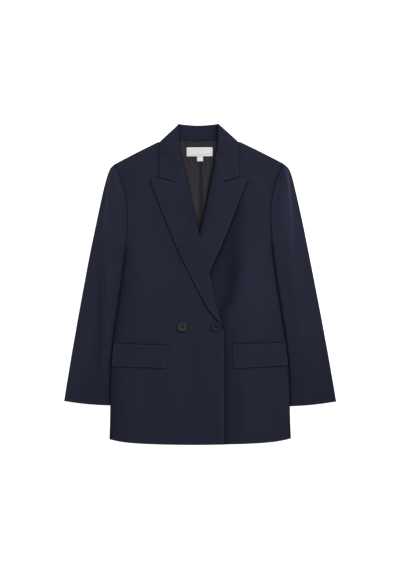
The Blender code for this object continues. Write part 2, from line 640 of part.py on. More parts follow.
def build_pocket(pocket, parent):
    """A flap and the jet above it, lying on their front."""
    top = np.array([pocket.inner_top, pocket.outer_top])
    low = np.array([pocket.inner_low, pocket.outer_low])
    up = unit((top - low)[0])
    parts = (
        ("flap_" + pocket.name, top, low, 1),
        ("jet_" + pocket.name, top + up * JET_HEIGHT, top + up * 2 * SEAM, 0),
    )
    for name, upper, lower, corner in parts:
        x, y = pocket_strip(pocket, upper, lower, corner)
        z = front_middle(x, y, pocket.hand) + front_half(x, y) + 0.5 + HALF
        cloth(name, grid(x, y, z), NAVY, parent, pocket.hand)


# ---- Buttons ----
def button_mesh():
    mesh = bpy.data.meshes.new("button")
    profile = [(share * BUTTON_RADIUS * SCALE, 0.0, z * SCALE) for share, z in BUTTON_PROFILE]
    edges = [(index, index + 1) for index in range(len(profile) - 1)]
    mesh.from_pydata(profile, edges, [])
    return mesh


def build_button(name, x, parent, cutters):
    """A dished four-hole button on its thread, on the overlapping front."""
    own_x = -x
    cloth_top = float(front_middle(own_x, BUTTON_Y, -1)) + HALF
    place = (x * SCALE, BUTTON_Y * SCALE, (cloth_top + BUTTON_SHANK) * SCALE)
    obj = new_object(name, button_mesh(), HORN, parent)
    obj.location = place
    turned = obj.modifiers.new("turned", "SCREW")
    turned.steps = 20
    turned.render_steps = 20
    turned.use_merge_vertices = True
    turned.merge_threshold = 0.00001
    holes = new_cutter(name + "_holes", place, cutters)
    cut = obj.modifiers.new("holes", "BOOLEAN")
    cut.object = holes
    cut.solver = "EXACT"
    return obj


def new_cutter(name, place, cutters):
    """Four eight-sided pegs through a button."""
    vertices = []
    faces = []
    angles = np.arange(8) * np.pi / 4 + np.pi / 8
    for side_x in (-1, 1):
        for side_y in (-1, 1):
            first = len(vertices)
            for height in (-2.0, 6.0):
                for angle in angles:
                    x = side_x * HOLE_SPACE + HOLE_RADIUS * np.cos(angle)
                    y = side_y * HOLE_SPACE + HOLE_RADIUS * np.sin(angle)
                    vertices.append((x * SCALE, y * SCALE, height * SCALE))
            ring = [first + index for index in range(8)]
            faces.append(ring[::-1])
            faces.append([index + 8 for index in ring])
            for index in range(8):
                after = (index + 1) % 8
                faces.append((ring[index], ring[after], ring[after] + 8, ring[index] + 8))
    mesh = bpy.data.meshes.new(name)
    mesh.from_pydata(vertices, [], faces)
    cutter = bpy.data.objects.new(name, mesh)
    cutters.objects.link(cutter)
    cutter.location = place
    cutter.hide_render = True
    cutter.display_type = "WIRE"
    return cutter


# ---- The garment ----
def clear_scene():
    for obj in list(bpy.data.objects):
        bpy.data.objects.remove(obj, do_unlink=True)


def main():
    clear_scene()
    collection = bpy.data.collections.new("double_breasted_blazer")
    cutters = bpy.data.collections.new("cutters")
    bpy.context.scene.collection.children.link(collection)
    bpy.context.scene.collection.children.link(cutters)
    blazer = bpy.data.objects.new("blazer", None)
    collection.objects.link(blazer)
    build_back(blazer)
    build_lining(blazer)
    build_patch("neck_label", LABEL, blazer)
    build_patch("size_tab", SIZE_TAB, blazer)
    for side, hand in (("right", -1), ("left", 1)):
        build_front("front_" + side, hand, blazer)
        build_lapel("lapel_" + side, hand, blazer)
        build_upper_sleeve("sleeve_upper_" + side, hand, blazer)
        build_under_sleeve("sleeve_under_" + side, hand, blazer)
    build_collar_fall(blazer)
    build_collar_stand(blazer)
    for pocket in POCKETS:
        build_pocket(pocket, blazer)
    build_button("button_outer", -BUTTON_X, blazer, cutters)
    build_button("button_inner", BUTTON_X, blazer, cutters)


main()
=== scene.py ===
"""Looks of a double breasted blazer with peak lapels that is laid flat on its back.

Every piece of cloth is a closed shell round a middle surface: a grid of points worked
out with numpy from the outlines and the height of each layer, with soft ridges and
troughs, a rounded rim and a map of its cloth for the weave. Sizes are in millimetres
and are made metres when a mesh is filled. X is across the garment, Y runs from the
hem to the collar and Z is up. Fronts, lapels, sleeves and pockets are drawn on their
own half, where x grows outwards from the centre line.
"""

import logging
from dataclasses import dataclass, field
from enum import Enum
from functools import cache
from typing import Any, Callable, NamedTuple, Sequence

import bpy
import numpy as np
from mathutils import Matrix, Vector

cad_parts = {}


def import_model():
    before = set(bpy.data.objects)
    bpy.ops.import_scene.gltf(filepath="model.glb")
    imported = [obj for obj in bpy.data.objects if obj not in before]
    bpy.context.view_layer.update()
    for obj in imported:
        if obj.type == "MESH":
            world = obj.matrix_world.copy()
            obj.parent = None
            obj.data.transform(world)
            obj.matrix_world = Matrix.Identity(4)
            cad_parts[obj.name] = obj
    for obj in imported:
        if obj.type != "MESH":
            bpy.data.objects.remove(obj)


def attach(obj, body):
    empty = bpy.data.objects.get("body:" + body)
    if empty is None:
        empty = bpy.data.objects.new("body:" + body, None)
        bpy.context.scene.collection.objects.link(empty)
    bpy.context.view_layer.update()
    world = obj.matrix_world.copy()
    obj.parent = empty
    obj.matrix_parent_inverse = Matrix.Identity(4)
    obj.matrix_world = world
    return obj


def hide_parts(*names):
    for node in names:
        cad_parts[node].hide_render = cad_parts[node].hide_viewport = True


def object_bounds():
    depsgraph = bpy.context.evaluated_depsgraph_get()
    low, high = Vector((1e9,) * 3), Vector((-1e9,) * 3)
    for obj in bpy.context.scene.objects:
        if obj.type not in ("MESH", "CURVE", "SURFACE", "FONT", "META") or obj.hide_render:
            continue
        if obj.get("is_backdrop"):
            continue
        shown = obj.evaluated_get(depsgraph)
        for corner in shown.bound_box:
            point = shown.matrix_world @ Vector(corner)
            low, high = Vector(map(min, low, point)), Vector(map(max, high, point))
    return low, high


Array = np.ndarray
Pair = tuple[float, float]
Color = tuple[float, float, float]
Mesh = bpy.types.Mesh
Piece = bpy.types.Object
Material = bpy.types.Material
Tree = bpy.types.NodeTree
Node = bpy.types.Node
Socket = bpy.types.NodeSocket

MM = 0.001
CLOTH_MAP = "cloth"
FREE_EDGE = "from_free_edge"
SEWN_EDGE = "from_sewn_edge"
# painted shade and painted highlight: a per-point tone that the cloth's colour is multiplied by
PAINTED_TONE = "painted_shade_and_highlight"
FAR = 99.0  # mm, where no edge is near
PAINTED_TONE_RELIEF = 9.0  # mm of relief that change the painted shade and highlight by a factor of e
DARKEST = 0.12  # the darkest painted shade, as a tone
LOG = logging.getLogger("blazer")


# ---- named options
class Hand(Enum):
    """The wearer's side that a piece is on, as the sign of its x."""

    RIGHT = -1
    LEFT = 1

    @property
    def word(self) -> str:
        """The side's name, as the frame's nodes have it."""
        return self.name.lower()

    def pick(self, right: Any, left: Any) -> Any:
        """The value for this side."""
        return right if self is Hand.RIGHT else left


class Held(Enum):
    """How a sheet of cloth is held."""

    LAID = "laid"
    FOLDED = "folded"


class Layer(Enum):
    """The two layers of a sleeve."""

    UPPER = "upper"
    UNDER = "under"


# ---- numbers
def ramp(value: Any, start: Any, end: Any) -> Array:
    """A smooth rise, 3t^2 - 2t^3, from 0 at start to 1 at end.

    Args:
        value: Where the rise is read.
        start: Value at which it leaves 0; it may be larger than end.
        end: Value at which it reaches 1.

    Returns:
        The rise at each value.
    """
    share = np.clip((value - start) / (end - start), 0.0, 1.0)
    return share * share * (3.0 - 2.0 * share)


def fade(value: Any, start: Any, end: Any) -> Array:
    """A smooth fall, from 1 at start to 0 at end."""
    return 1.0 - ramp(value, start, end)


def mix(start: Any, end: Any, share: Any) -> Any:
    """The value that share of the way from start to end."""
    return start + (end - start) * share


def unit(vector: Array) -> Array:
    """The vector, or each of the vectors, with length 1."""
    return vector / np.linalg.norm(vector, axis=-1, keepdims=True)


def layered(*values: Any) -> Array:
    """Arrays of any matching shapes as the last axis of one array."""
    return np.stack(np.broadcast_arrays(*values), axis=-1)


@dataclass(frozen=True)
class Curve:
    """A smooth curve through (position, value) pairs that never passes beyond a pair.

    Each stretch is a cubic. Its slope at a pair is the harmonic mean of the straight
    slopes on both sides, and 0 where those have unlike signs.
    """

    pairs: tuple[Pair, ...]

    @staticmethod
    def through(positions: Sequence[float], values: Sequence[float]) -> "Curve":
        """The curve through positions and values given apart."""
        return Curve(tuple((float(p), float(v)) for p, v in zip(positions, values)))

    def at(self, position: Any) -> Array:
        """Reads the curve.

        Args:
            position: Where to read it; past an end, the end's value holds.

        Returns:
            The value at each position.
        """
        knots, values = np.array(self.pairs).T
        steps = np.diff(knots)
        slopes = np.diff(values) / steps
        product = slopes[:-1] * slopes[1:]
        total = slopes[:-1] + slopes[1:]
        total = np.where(np.abs(total) > 1e-9, total, 1.0)
        inner = np.where(product > 0.0, 2.0 * product / total, 0.0)
        tangents = np.concatenate([slopes[:1], inner, slopes[-1:]])
        place = np.clip(np.asarray(position, float), knots[0], knots[-1])
        piece = np.clip(np.searchsorted(knots, place, side="right") - 1, 0, len(steps) - 1)
        t = (place - knots[piece]) / steps[piece]
        value = mix(values[piece], values[piece + 1], t * t * (3.0 - 2.0 * t))
        value = value + tangents[piece] * steps[piece] * t * (1.0 - t) ** 2
        return value + tangents[piece + 1] * steps[piece] * t * t * (t - 1.0)


def column(rows: Sequence[NamedTuple], name: str, at: Any) -> Array:
    """A table's named column as a smooth curve over its row number.

    Args:
        rows: The table.
        name: The column's name.
        at: Row numbers, whole or between two rows.

    Returns:
        The column's value at each row number.
    """
    values = [getattr(row, name) for row in rows]
    return Curve.through(range(len(rows)), values).at(at)


def sized(points: Array, half: Any, tone: Any = 1.0) -> Array:
    """Points with half the cloth's thickness and the tone of their painted shade and highlight."""
    return layered(*np.moveaxis(points, -1, 0), half, tone)


def near(away: Array, most: Any, reach: Any) -> Array:
    """What is strongest at an edge: most * exp(-away / reach), with away no less than 0."""
    return most * np.exp(-np.maximum(away, 0.0) / reach)


def half_turn(edge: Array, outward: Sequence[float], width: Any, low: Any, share: Any = 1.0,
              steps: int = 10) -> Array:
    """An edge carried outwards by width and round to the height low.

    At the angle a, the reach is width * mix(a / pi, sin a, share) and the height is the
    edge's, lowered by share * (1 - cos a) / 2 of its way to low.

    Args:
        edge: (points, 3) of the edge.
        outward: Direction of the turn, (points, 2) or (2,).
        width: Reach at the middle of the turn.
        low: Height at the end of the turn.
        share: How much of the turn is made; at 0 the steps stay level.
        steps: Lines that the turn is made of.

    Returns:
        (steps, points, 3), from the edge outwards.
    """
    angle = (np.arange(1, steps + 1) * np.pi / steps)[:, None]
    reach = width * mix(angle / np.pi, np.sin(angle), share)
    level = mix(edge[:, 2], low, share * (1.0 - np.cos(angle)) / 2)
    plan = edge[None, :, :2] + np.asarray(outward) * reach[:, :, None]
    return np.concatenate([plan, level[:, :, None]], axis=2)


# ---- outlines and layers
class PanelRow(NamedTuple):
    """A row across a front or the back: its y at both ends and its side's turn."""

    inner_y: float
    outer_y: float
    roll: float


PANEL = tuple(PanelRow(*row) for row in (
    (-391.8, -377.3, 1), (-355, -340, 1), (-304, -300, 1), (-254, -254, 1), (-208, -208, 1),
    (-165, -165, 1), (-128, -128, 1), (-97, -98, 1), (-87, -84, 1), (-62, -58, 1), (-30, -24, 1),
    (4, 12, 1), (36, 46, 1), (62, 71, 0.6), (78, 83, 0), (96, 85.2, 0), (113, 89, 0), (131, 95.5, 0),
    (149, 104.5, 0), (168, 117, 0), (188, 133, 0), (209, 152, 0), (231, 175, 0), (253, 198, 0),
    (275, 220, 0), (297, 242, 0), (318, 262, 0), (338, 279, 0), (355.5, 291.6, 0),
))


class SleeveRow(NamedTuple):
    """A row across a sleeve: ends, rise over the front, height beneath, inner turn."""

    inner_y: float
    outer_y: float
    rise: float
    under: float
    curl: float


SLEEVE = tuple(SleeveRow(*row) for row in (
    (294.4, 293.4, 0, 0.75, 0), (279, 281, 0, 0.75, 0), (262, 262.5, 0, 0.75, 0), (242, 241, 0, 0.75, 0),
    (220, 217.5, 0, 0.80, 0), (198, 194, 0, 1.00, 0), (175, 170, 0.1, 1.50, 0), (152, 147, 0.6, 2.40, 0),
    (133, 128, 2.2, 3.70, 0), (117, 112, 4.2, 5.10, 0.3), (104.5, 99, 5.8, 6.00, 0.7),
    (92, 86, 6.7, 6.50, 0.95), (72, 66, 7.2, 6.50, 1), (40, 34, 7.2, 6.50, 1), (4, -2, 7.2, 6.50, 1),
    (-35, -40, 7.2, 6.50, 1), (-75, -80, 7.2, 6.50, 1), (-115, -121, 7.2, 6.50, 1),
    (-155, -163, 7.2, 6.50, 1), (-195, -203, 7.2, 6.50, 1), (-226, -230, 6.6, 4.00, 1),
    (-262, -258, 3, 1.20, 1), (-296.5, -285.4, 1.45, 0.75, 1),
))


@dataclass(frozen=True)
class Crease:
    """A soft ridge, or a trough where rise is negative, along a bowed line.

    Its height is rise * exp(-(across / width)^2), fading over both ends; across is
    measured from a line that leaves the straight one by bow * 4t(1 - t).
    """

    start: Pair
    end: Pair
    width: float
    rise: float
    bow: float = 0.0
    fade: float = 0.35

    def height(self, x: Array, y: Array) -> Array:
        """The crease's height over the plan points x, y.

        Args:
            x, y: Plan points.

        Returns:
            The height in mm, negative in a hollow.
        """
        line = np.array(self.end) - np.array(self.start)
        length = float(np.linalg.norm(line))
        along = ((x - self.start[0]) * line[0] + (y - self.start[1]) * line[1]) / length**2
        across = ((y - self.start[1]) * line[0] - (x - self.start[0]) * line[1]) / length
        across = across - self.bow * 4.0 * along * (1.0 - along)
        ends = ramp(along, -self.fade, self.fade) * fade(along, 1.0 - self.fade, 1.0 + self.fade)
        return self.rise * np.exp(-((across / self.width) ** 2)) * ends


BODY_CREASES = (
    Crease((118, 190), (118, -20), 21, 1.5, -12),
    Crease((100, 20), (82, -84), 14, 0.9, -5),
    Crease((54, 32), (58, -50), 8, 0.6, 3),
    Crease((150, 150), (128, -120), 32, 0.9, 9),
    Crease((-148, 170), (-120, -90), 34, 0.8, -8),
    Crease((-92, 60), (-76, -96), 16, 0.7, 5),
    Crease((-60, -118), (-40, -330), 26, 0.7, -6),
    Crease((-24, -140), (-10, -360), 18, -0.4, 5),
    Crease((128, -215), (140, -372), 24, 0.7, 5),
    Crease((-150, -218), (-138, -366), 22, 0.6, -6),
    Crease((92, -240), (84, -380), 13, -0.5, 3),
    Crease((172, 96), (150, 10), 9, -0.7, 4),
    Crease((-174, 92), (-154, 4), 9, -0.7, -4),
    Crease((140, 268), (170, 150), 14, 0.6, 5),
    Crease((-140, 268), (-168, 150), 13, 0.5, -5),
)

BACK_CREASES = (
    Crease((-6, 300), (4, -340), 7, 0.45, 3),
    Crease((-120, 240), (-96, -60), 26, 0.6, 14),
    Crease((118, 230), (90, -80), 24, 0.55, -16),
    Crease((-40, 60), (-58, -250), 18, 0.5, -8),
    Crease((52, 20), (66, -300), 20, 0.5, 9),
    Crease((-168, -120), (-60, -150), 12, 0.4, 9),
    Crease((160, -90), (70, -118), 10, 0.4, -8),
    Crease((-70, 318), (60, 312), 9, 0.5, -7),
)

LINING_CREASES = (
    Crease((14, 290), (12, 150), 3.6, 0.9, 0.6, 0.22),
    Crease((-6, 290), (-3, 136), 6.5, 0.5, -0.8, 0.22),
    Crease((3.4, 306), (3.6, 118), 3.6, -2.3, 0.5, 0.16),
    Crease((-19, 292), (-9, 150), 6, 0.6, 1.5),
    Crease((-32.8, 353), (-32, 337), 2, -1.2, 0.4, 0.2),
    Crease((-27.5, 352), (-28, 340), 2.2, 0.5),
    Crease((-21.6, 353), (-23, 338), 2.2, 1.1, 0.5, 0.2),
    Crease((-17.6, 353), (-17, 341), 1.6, -0.9, 0.3, 0.2),
    Crease((24, 352), (27.5, 339), 2.4, 0.7, 0.6),
    Crease((-31, 309), (-22, 292), 2.8, -1.3, 1.2, 0.25),
    Crease((-24, 312), (-10, 286), 2.4, 0.9, -1.4, 0.25),
    Crease((-16, 310), (-7, 292), 1.5, -0.6, 0.8, 0.25),
    Crease((16.4, 307), (15.4, 272), 1.8, -1.3, 0.5, 0.25),
    Crease((21, 308), (18.6, 262), 2.2, 0.9, -0.5, 0.25),
    Crease((9, 300), (8.4, 262), 1.6, 0.6, 0.3, 0.25),
)

SLEEVE_CREASES = {
    Hand.LEFT: (
        Crease((212, 232), (226, 90), 15, 0.9, 4),
        Crease((226, 70), (262, -190), 19, 0.8, -6),
        Crease((206, 40), (232, -120), 9, -0.9, 4),
        Crease((190, 66), (228, 40), 8, 0.8, -5),
        Crease((248, -20), (276, -170), 10, -0.7, 4),
        Crease((244, -190), (262, -280), 13, 0.8, 3),
        Crease((284, -160), (306, -276), 11, 0.7, -3),
    ),
    Hand.RIGHT: (
        Crease((212, 226), (224, 96), 14, 1.2, 5),
        Crease((226, 90), (228, -60), 12, 0.9, -2),
        Crease((242, 22), (251, -246), 11, -1.8, 0.5, 0.3),
        Crease((262, -10), (284, -210), 12, 0.9, -4),
        Crease((192, 58), (226, 30), 8, 0.7, -5),
        Crease((223, -56), (233, -200), 9, 0.9, 1),
        Crease((288, -176), (304, -270), 10, 0.6, 3),
    ),
}


@dataclass(frozen=True)
class PaintedHighlight:
    """A painted highlight: a pale line painted along a fold's crest, where the light catches it.

    Its strength at x, y is shade(y) * exp(-((x - line(y)) / width)^2).
    """

    line: Curve
    shade: Curve
    width: float = 3.4

    def at(self, x: Array, y: Array) -> Array:
        """Strength of the painted highlight at the plan points x, y."""
        return self.shade.at(y) * np.exp(-(((x - self.line.at(y)) / self.width) ** 2))


# painted highlight along the crest of each sleeve
SLEEVE_PAINTED_HIGHLIGHT = {
    Hand.LEFT: PaintedHighlight(
        Curve(((40, 226.5), (84, 225.8), (146, 226.1), (207, 222.7), (268, 216.5), (284, 212))),
        Curve(((40, 0), (84, 0.16), (146, 0.32), (207, 0.68), (262, 0.86), (280, 0.5), (290, 0))),
    ),
    Hand.RIGHT: PaintedHighlight(
        Curve(((110, 232), (146, 230.8), (207, 225.6), (268, 218), (284, 213))),
        Curve(((110, 0), (146, 0.12), (207, 0.40), (262, 0.58), (280, 0.4), (290, 0))),
    ),
}


def relief(creases: Sequence[Crease], x: Array, y: Array) -> Array:
    """The height that creases add together at x, y."""
    return sum(crease.height(x, y) for crease in creases)


class Shade(NamedTuple):
    """Painted shade beside something: a narrow dark line and a soft broad shade.

    Each has a share of the tone that it takes off, and a reach in mm. A share below 0
    paints the cloth lighter there, a painted highlight.
    """

    line: float
    line_reach: float
    hollow: float = 0.0
    hollow_reach: float = 1.0

    def at(self, away: Array) -> Array:
        """The painted darkness at a distance in mm, the line's and the hollow's together."""
        return near(away, self.line, self.line_reach) + near(away, self.hollow, self.hollow_reach)


class FrontShades(NamedTuple):
    """Painted shade of a front beside its sleeve's fold, its lapel and its armhole seam."""

    sleeve: Shade
    lapel: Shade
    armhole: Shade


# painted shade on each front beside the sleeve's fold, the lapel and the armhole seam
FRONT_SHADES = {
    Hand.RIGHT: FrontShades(
        Shade(0.56, 1.8, 0.60, 13.0), Shade(0.44, 2.2, 0.20, 4.5), Shade(0.04, 1.4, 0.05, 25.0),
    ),
    Hand.LEFT: FrontShades(
        Shade(0.46, 2.2, 0.28, 5.0), Shade(0.80, 1.8), Shade(0.58, 1.8, 0.10, 25.0),
    ),
}


@dataclass(frozen=True)
class Lay:
    """The outlines of the garment and how high each layer lies on the one beneath.

    All heights are of a layer's middle, above the surface that the garment is on.
    """

    cloth: float = 1.5
    shoulder_cloth: float = 2.7
    lining_cloth: float = 0.9
    label_cloth: float = 0.7
    seam: float = 0.3
    ease: float = 0.6
    front: float = 6.0
    shoulder_loft: float = 2.2
    collar_lift: float = 1.9
    underlap_dip: float = 2.6
    leg: float = 1.9
    roll_rise: float = 0.8
    hem_low: float = -392.6
    hem_half: float = 221.6
    hem_rise: float = 8.0
    hem_corner: float = 7.3
    armhole_low: float = 83.0
    shoulder_top: float = 351.8
    collar_wrap: float = 3.6
    overlap: float = 60.0
    break_y: float = -113.0
    neck_half: float = 62.0
    neck_y: float = 352.5
    edge_roll: float = 3.0
    lapel_roll: float = 3.2
    side: Curve = Curve((
        (-377.3, 221.6), (-340, 220.2), (-304, 219.4), (-225, 219.3), (-200, 219.8), (-113, 225),
        (-39, 231), (34, 239), (83, 245),
    ))
    armhole: Curve = Curve((
        (83, 245), (85.2, 226), (89, 209), (95.5, 195), (104.5, 185.8), (117, 179.6), (133, 176.3),
        (152, 175.2), (175, 175), (198, 176.3), (220, 180), (242, 185.6), (262, 192), (279, 199),
        (291.6, 205.2),
    ))
    roll: Curve = Curve((
        (-113, -59.8), (-101, -55), (-88, -50.6), (-29.5, -35.9), (0, -29.6), (29.4, -22.5),
        (58.8, -15.7), (88.3, -8.4), (125.8, 0.8), (191, 16), (250, 27.6), (309, 40.3), (329, 44.7),
        (342, 46.8), (368, 48.2), (388, 49),
    ))
    lapel_edge: Curve = Curve((
        (-111, -58.8), (-103, -54.2), (-93.2, -48), (-68.6, -27.4), (-39.1, -9.4), (-9.6, 6.2),
        (19.8, 20.8), (49.3, 35.4), (78.8, 50), (137.7, 74.2), (196.6, 97.4), (255.5, 117.4),
        (262.5, 118.4),
    ))
    inner_fold: Curve = Curve((
        (-296.5, 220.6), (-279.3, 220.6), (-240.1, 220.2), (-200.9, 218.6), (-161.7, 215),
        (-122.5, 210.3), (-83.3, 204.3), (-44.1, 198.5), (-4.9, 192.4), (34.3, 187), (73.5, 182),
        (93.1, 179.8), (117, 177.4), (133, 176.6),
    ))
    outer_fold: Curve = Curve((
        (-290, 333.6), (-285.4, 332.6), (-259.6, 328.4), (-215.5, 320.7), (-171.4, 313.2),
        (-127.3, 305.3), (-83.2, 297.4), (-39.1, 289.2), (5, 280.8), (49.1, 272.4), (107.9, 260.8),
        (166.7, 248.7), (196.1, 242.3), (225.5, 235.7), (254.9, 228.1), (269.6, 223.7), (284.3, 217.3),
        (293.4, 208),
    ))
    valley: Curve = Curve((
        (-112, 42), (-68, 54.8), (-38, 68), (-1, 77.2), (35, 82), (72, 84.4), (121, 91), (158, 98.8),
        (197, 104.8),
    ))
    valley_shade: Curve = Curve((
        (-118, 0), (-96, 0.34), (-68, 0.46), (-38, 0.52), (-1, 0.50), (35, 0.44), (72, 0.36), (121, 0.26),
        (158, 0.13), (200, 0),
    ))
    valley_inner: Curve = Curve(((-68, 16), (-38, 21), (-1, 24), (35, 27), (121, 22)))
    valley_outer: Curve = Curve(((-68, 20), (-1, 21), (35, 25), (72, 32), (121, 31)))
    valley_depth: float = 3.6
    lowest_front: float = 2.55
    side_seam: float = 0.915
    dip_softness: float = 0.4
    overlap_air: float = 0.9
    lining_air: float = 0.85
    notch: Pair = (60.6, 251.0)
    gorge_top: Pair = (38.6, 303.0)

    @property
    def half(self) -> float:
        """Half the cloth's thickness."""
        return self.cloth / 2

    def hollow(self, x: Array, y: Array, narrow: float = 1.0) -> Array:
        """The long hollow beside the underlap's lapel; it sinks the cloth, and the same strength paints
        shade along it.

        It is valley_shade(y) * exp(-(away / (narrow * width))^2), where away is measured
        from the valley's line and the width differs on its two sides.

        Args:
            x, y: Plan points of the garment.
            narrow: Share of its full width.

        Returns:
            Its strength, 0 to 1.
        """
        away = x - self.valley.at(y)
        width = np.where(away < 0.0, self.valley_inner.at(y), self.valley_outer.at(y))
        return self.valley_shade.at(y) * np.exp(-((away / (narrow * width)) ** 2))

    def body_side(self, y: Array) -> Array:
        """Outer x of the body: its side up to the pit, then the armhole seam."""
        return np.where(y < self.armhole_low, self.side.at(y), self.armhole.at(y))

    def hem_y(self, x: Array) -> Array:
        """The hem: hem_low on the centre line, bowed up, with its corners rounded up."""
        share = np.abs(x) / self.hem_half
        return self.hem_low + self.hem_rise * share**2 + self.hem_corner * share**8

    def shoulder_y(self, x: Array) -> Array:
        """The shoulder's silhouette, a shallow parabola in |x|.

        It is drawn in by collar_wrap where the collar wraps round it.

        Args:
            x: Garment x.

        Returns:
            Its y.
        """
        out = np.abs(x) - 91.5
        under_collar = self.collar_wrap * fade(np.abs(x), 86.0, 102.0)
        return self.shoulder_top - 0.47 * out - 0.0003 * out * out - under_collar

    def back_top_y(self, x: Array) -> Array:
        """The back's top: a parabola along the neck seam, then the shoulder seam.

        Args:
            x: Garment x.

        Returns:
            Its y.
        """
        shoulder = self.shoulder_y(np.maximum(np.abs(x), self.neck_half))
        shoulder = shoulder - mix(self.edge_roll + 0.6, 0.7, ramp(np.abs(x), 194.0, 203.0))
        shoulder = shoulder - 1.8 * fade(np.abs(x), 90.0, 125.0)
        neck = mix(self.neck_y, shoulder, (np.abs(x) / self.neck_half) ** 2)
        return np.where(np.abs(x) < self.neck_half, neck, shoulder)

    def tuck(self, y: Array) -> Array:
        """How far beside the roll line a front ends, hidden in the lapel's roll."""
        return (self.lapel_roll + 0.6) * ramp(y, self.break_y, -80.0)

    def front_inner_x(self, y: Array) -> Array:
        """A front's inner edge: front edge, roll line, then the neck seam.

        Args:
            y: Plan y.

        Returns:
            Its own-half x.
        """
        roll = self.roll.at(y) + self.tuck(y)
        neck = mix(roll, self.neck_half, ramp(y, 303.0, 352.0))
        return np.where(y < self.break_y, -self.overlap, neck)

    def padding(self, x: Array, y: Array) -> Array:
        """1 over the shoulder pad and 0 away from it."""
        return ramp(y - self.shoulder_y(x), -75.0, -12.0)

    def lift(self, x: Array, y: Array) -> Array:
        """Rise of everything that lies on the collar's back fall."""
        return self.collar_lift * ramp(y, 308.0, 332.0) * fade(np.abs(x), 92.0, 126.0)

    def back_level(self, x: Array, y: Array) -> Array:
        """Height of the back."""
        return self.half + self.lift(x, y)

    def front_half(self, x: Array, y: Array) -> Array:
        """Half a front's thickness."""
        return mix(self.cloth, self.shoulder_cloth, self.padding(x, y)) / 2

    def dip(self, x: Array, y: Array) -> Array:
        """How far the underlap sinks beside and under the other front's edge.

        Where its creases would take it into the back, it stays above lowest_front, with
        s * log(1 + exp(spare / s)) in place of the height to spare; s is dip_softness.

        Args:
            x, y: Plan points on the own half.

        Returns:
            The depth in mm.
        """
        along = (1.0 - 0.85 * ramp(y, 30.0, 100.0)) * fade(y, 150.0, 230.0)
        sunk = self.underlap_dip * fade(x, 74.0, 104.0) * along
        spare = self.front + self.body_relief(x, y, Hand.LEFT) - sunk - self.lowest_front
        return sunk - (self.dip_softness * np.logaddexp(0.0, spare / self.dip_softness) - spare)

    def overlap_edge(self, y: Array) -> Array:
        """The overlapping front's edge as the underlap's own-half x."""
        return np.where(y < self.break_y, self.overlap, -self.roll.at(y))

    def overlap_rise(self, x: Array, y: Array) -> Array:
        """Rise of the overlapping front above the underlap and the underlap's lapel.

        Args:
            x, y: Plan points on the overlapping front's half.

        Returns:
            The rise in mm.
        """
        on_underlap = fade(x - self.overlap_edge(y), 12.0, 42.0)
        on_lapel = ramp(x + self.lapel_x(y, Hand.LEFT), -40.0, -12.0) * ramp(y, -122.0, -92.0)
        layers = self.cloth + self.overlap_air - self.dip(-x, y)
        layers = layers + (self.ease + self.cloth + self.roll_rise) * on_lapel
        return layers * on_underlap * fade(y, 230.0, 290.0)

    def lapel_x(self, y: Array, hand: Hand) -> Array:
        """A lapel's outer edge; the underlap's one is a little narrower.

        Args:
            y: Plan y.
            hand: The lapel's side.

        Returns:
            Its own-half x.
        """
        peak = ramp(y, 236.0, 262.0)
        narrower = hand.pick(0.0, 1.7) * ramp(y, 20.0, 60.0) * (1.0 - peak)
        return self.lapel_edge.at(y) + hand.pick(1.2, 1.6) * peak - narrower

    def sleeve_fold(self, y: Array, hand: Hand) -> Array:
        """Own-half x of a sleeve's inner fold; the right sleeve lies a little further out."""
        return self.inner_fold.at(y) + hand.pick(1.2, 0.0) * ramp(y, -235.0, -190.0)

    def notch_y(self, x: Array) -> Array:
        """y of the collar's lower edge, from the notch out to its point."""
        return 250.8 + 0.32 * (x - 61.0)

    def painted_light(self, x: Array, y: Array, hand: Hand) -> Array:
        """Painted shade and highlight of a front, as a tone: lighter on ridges, darker in
        hollows and beside the layers on it.

        It is exp(relief / 9) times 1 less the painted shade beside the sleeve, the lapel,
        the collar and, on the underlap, the overlapping front and the long hollow.

        Args:
            x, y: Plan points on the own half.
            hand: The front's side.

        Returns:
            The tone, 1 on plain cloth.
        """
        under = hand is Hand.LEFT
        shades = FRONT_SHADES[hand]
        # painted shade beside the sleeve's fold and the armhole seam, then beside the lapel
        sleeve = shades.sleeve.at(self.sleeve_fold(y, hand) - x) * fade(y, 70.0, 128.0)
        sleeve = sleeve * mix(0.75, 1.0, ramp(y, -225.0, -190.0))
        sleeve = sleeve + shades.armhole.at(self.armhole.at(y) - x) * ramp(y, 104.0, 140.0)
        from_lapel = x - self.lapel_x(y, hand)
        if under:
            low = ramp(y, 235.0, 160.0)
            soft = near(from_lapel, mix(0.34, 0.60, low), mix(12.0, 21.0, low))
        else:
            soft = near(from_lapel, 0.34, 3.4) * ramp(y, 10.0, -60.0)
        lapel = (shades.lapel.at(from_lapel) + soft) * ramp(y, self.break_y, -100.0) * fade(y, 246.0, 262.0)
        # painted highlight on ridges and painted shade in troughs, times the painted shade beside layers
        tone = np.exp(self.creases(x, y, hand) / PAINTED_TONE_RELIEF) * (1.0 - sleeve) * (1.0 - lapel)
        tone = tone * (1.0 - self.collar_shade(x, y))
        if under:
            # painted shade beside the overlapping front and along the long hollow
            tone = tone * (1.0 - self.overlap_shade(x, y)) * (1.0 - self.hollow(x, y))
        return np.maximum(tone, DARKEST)

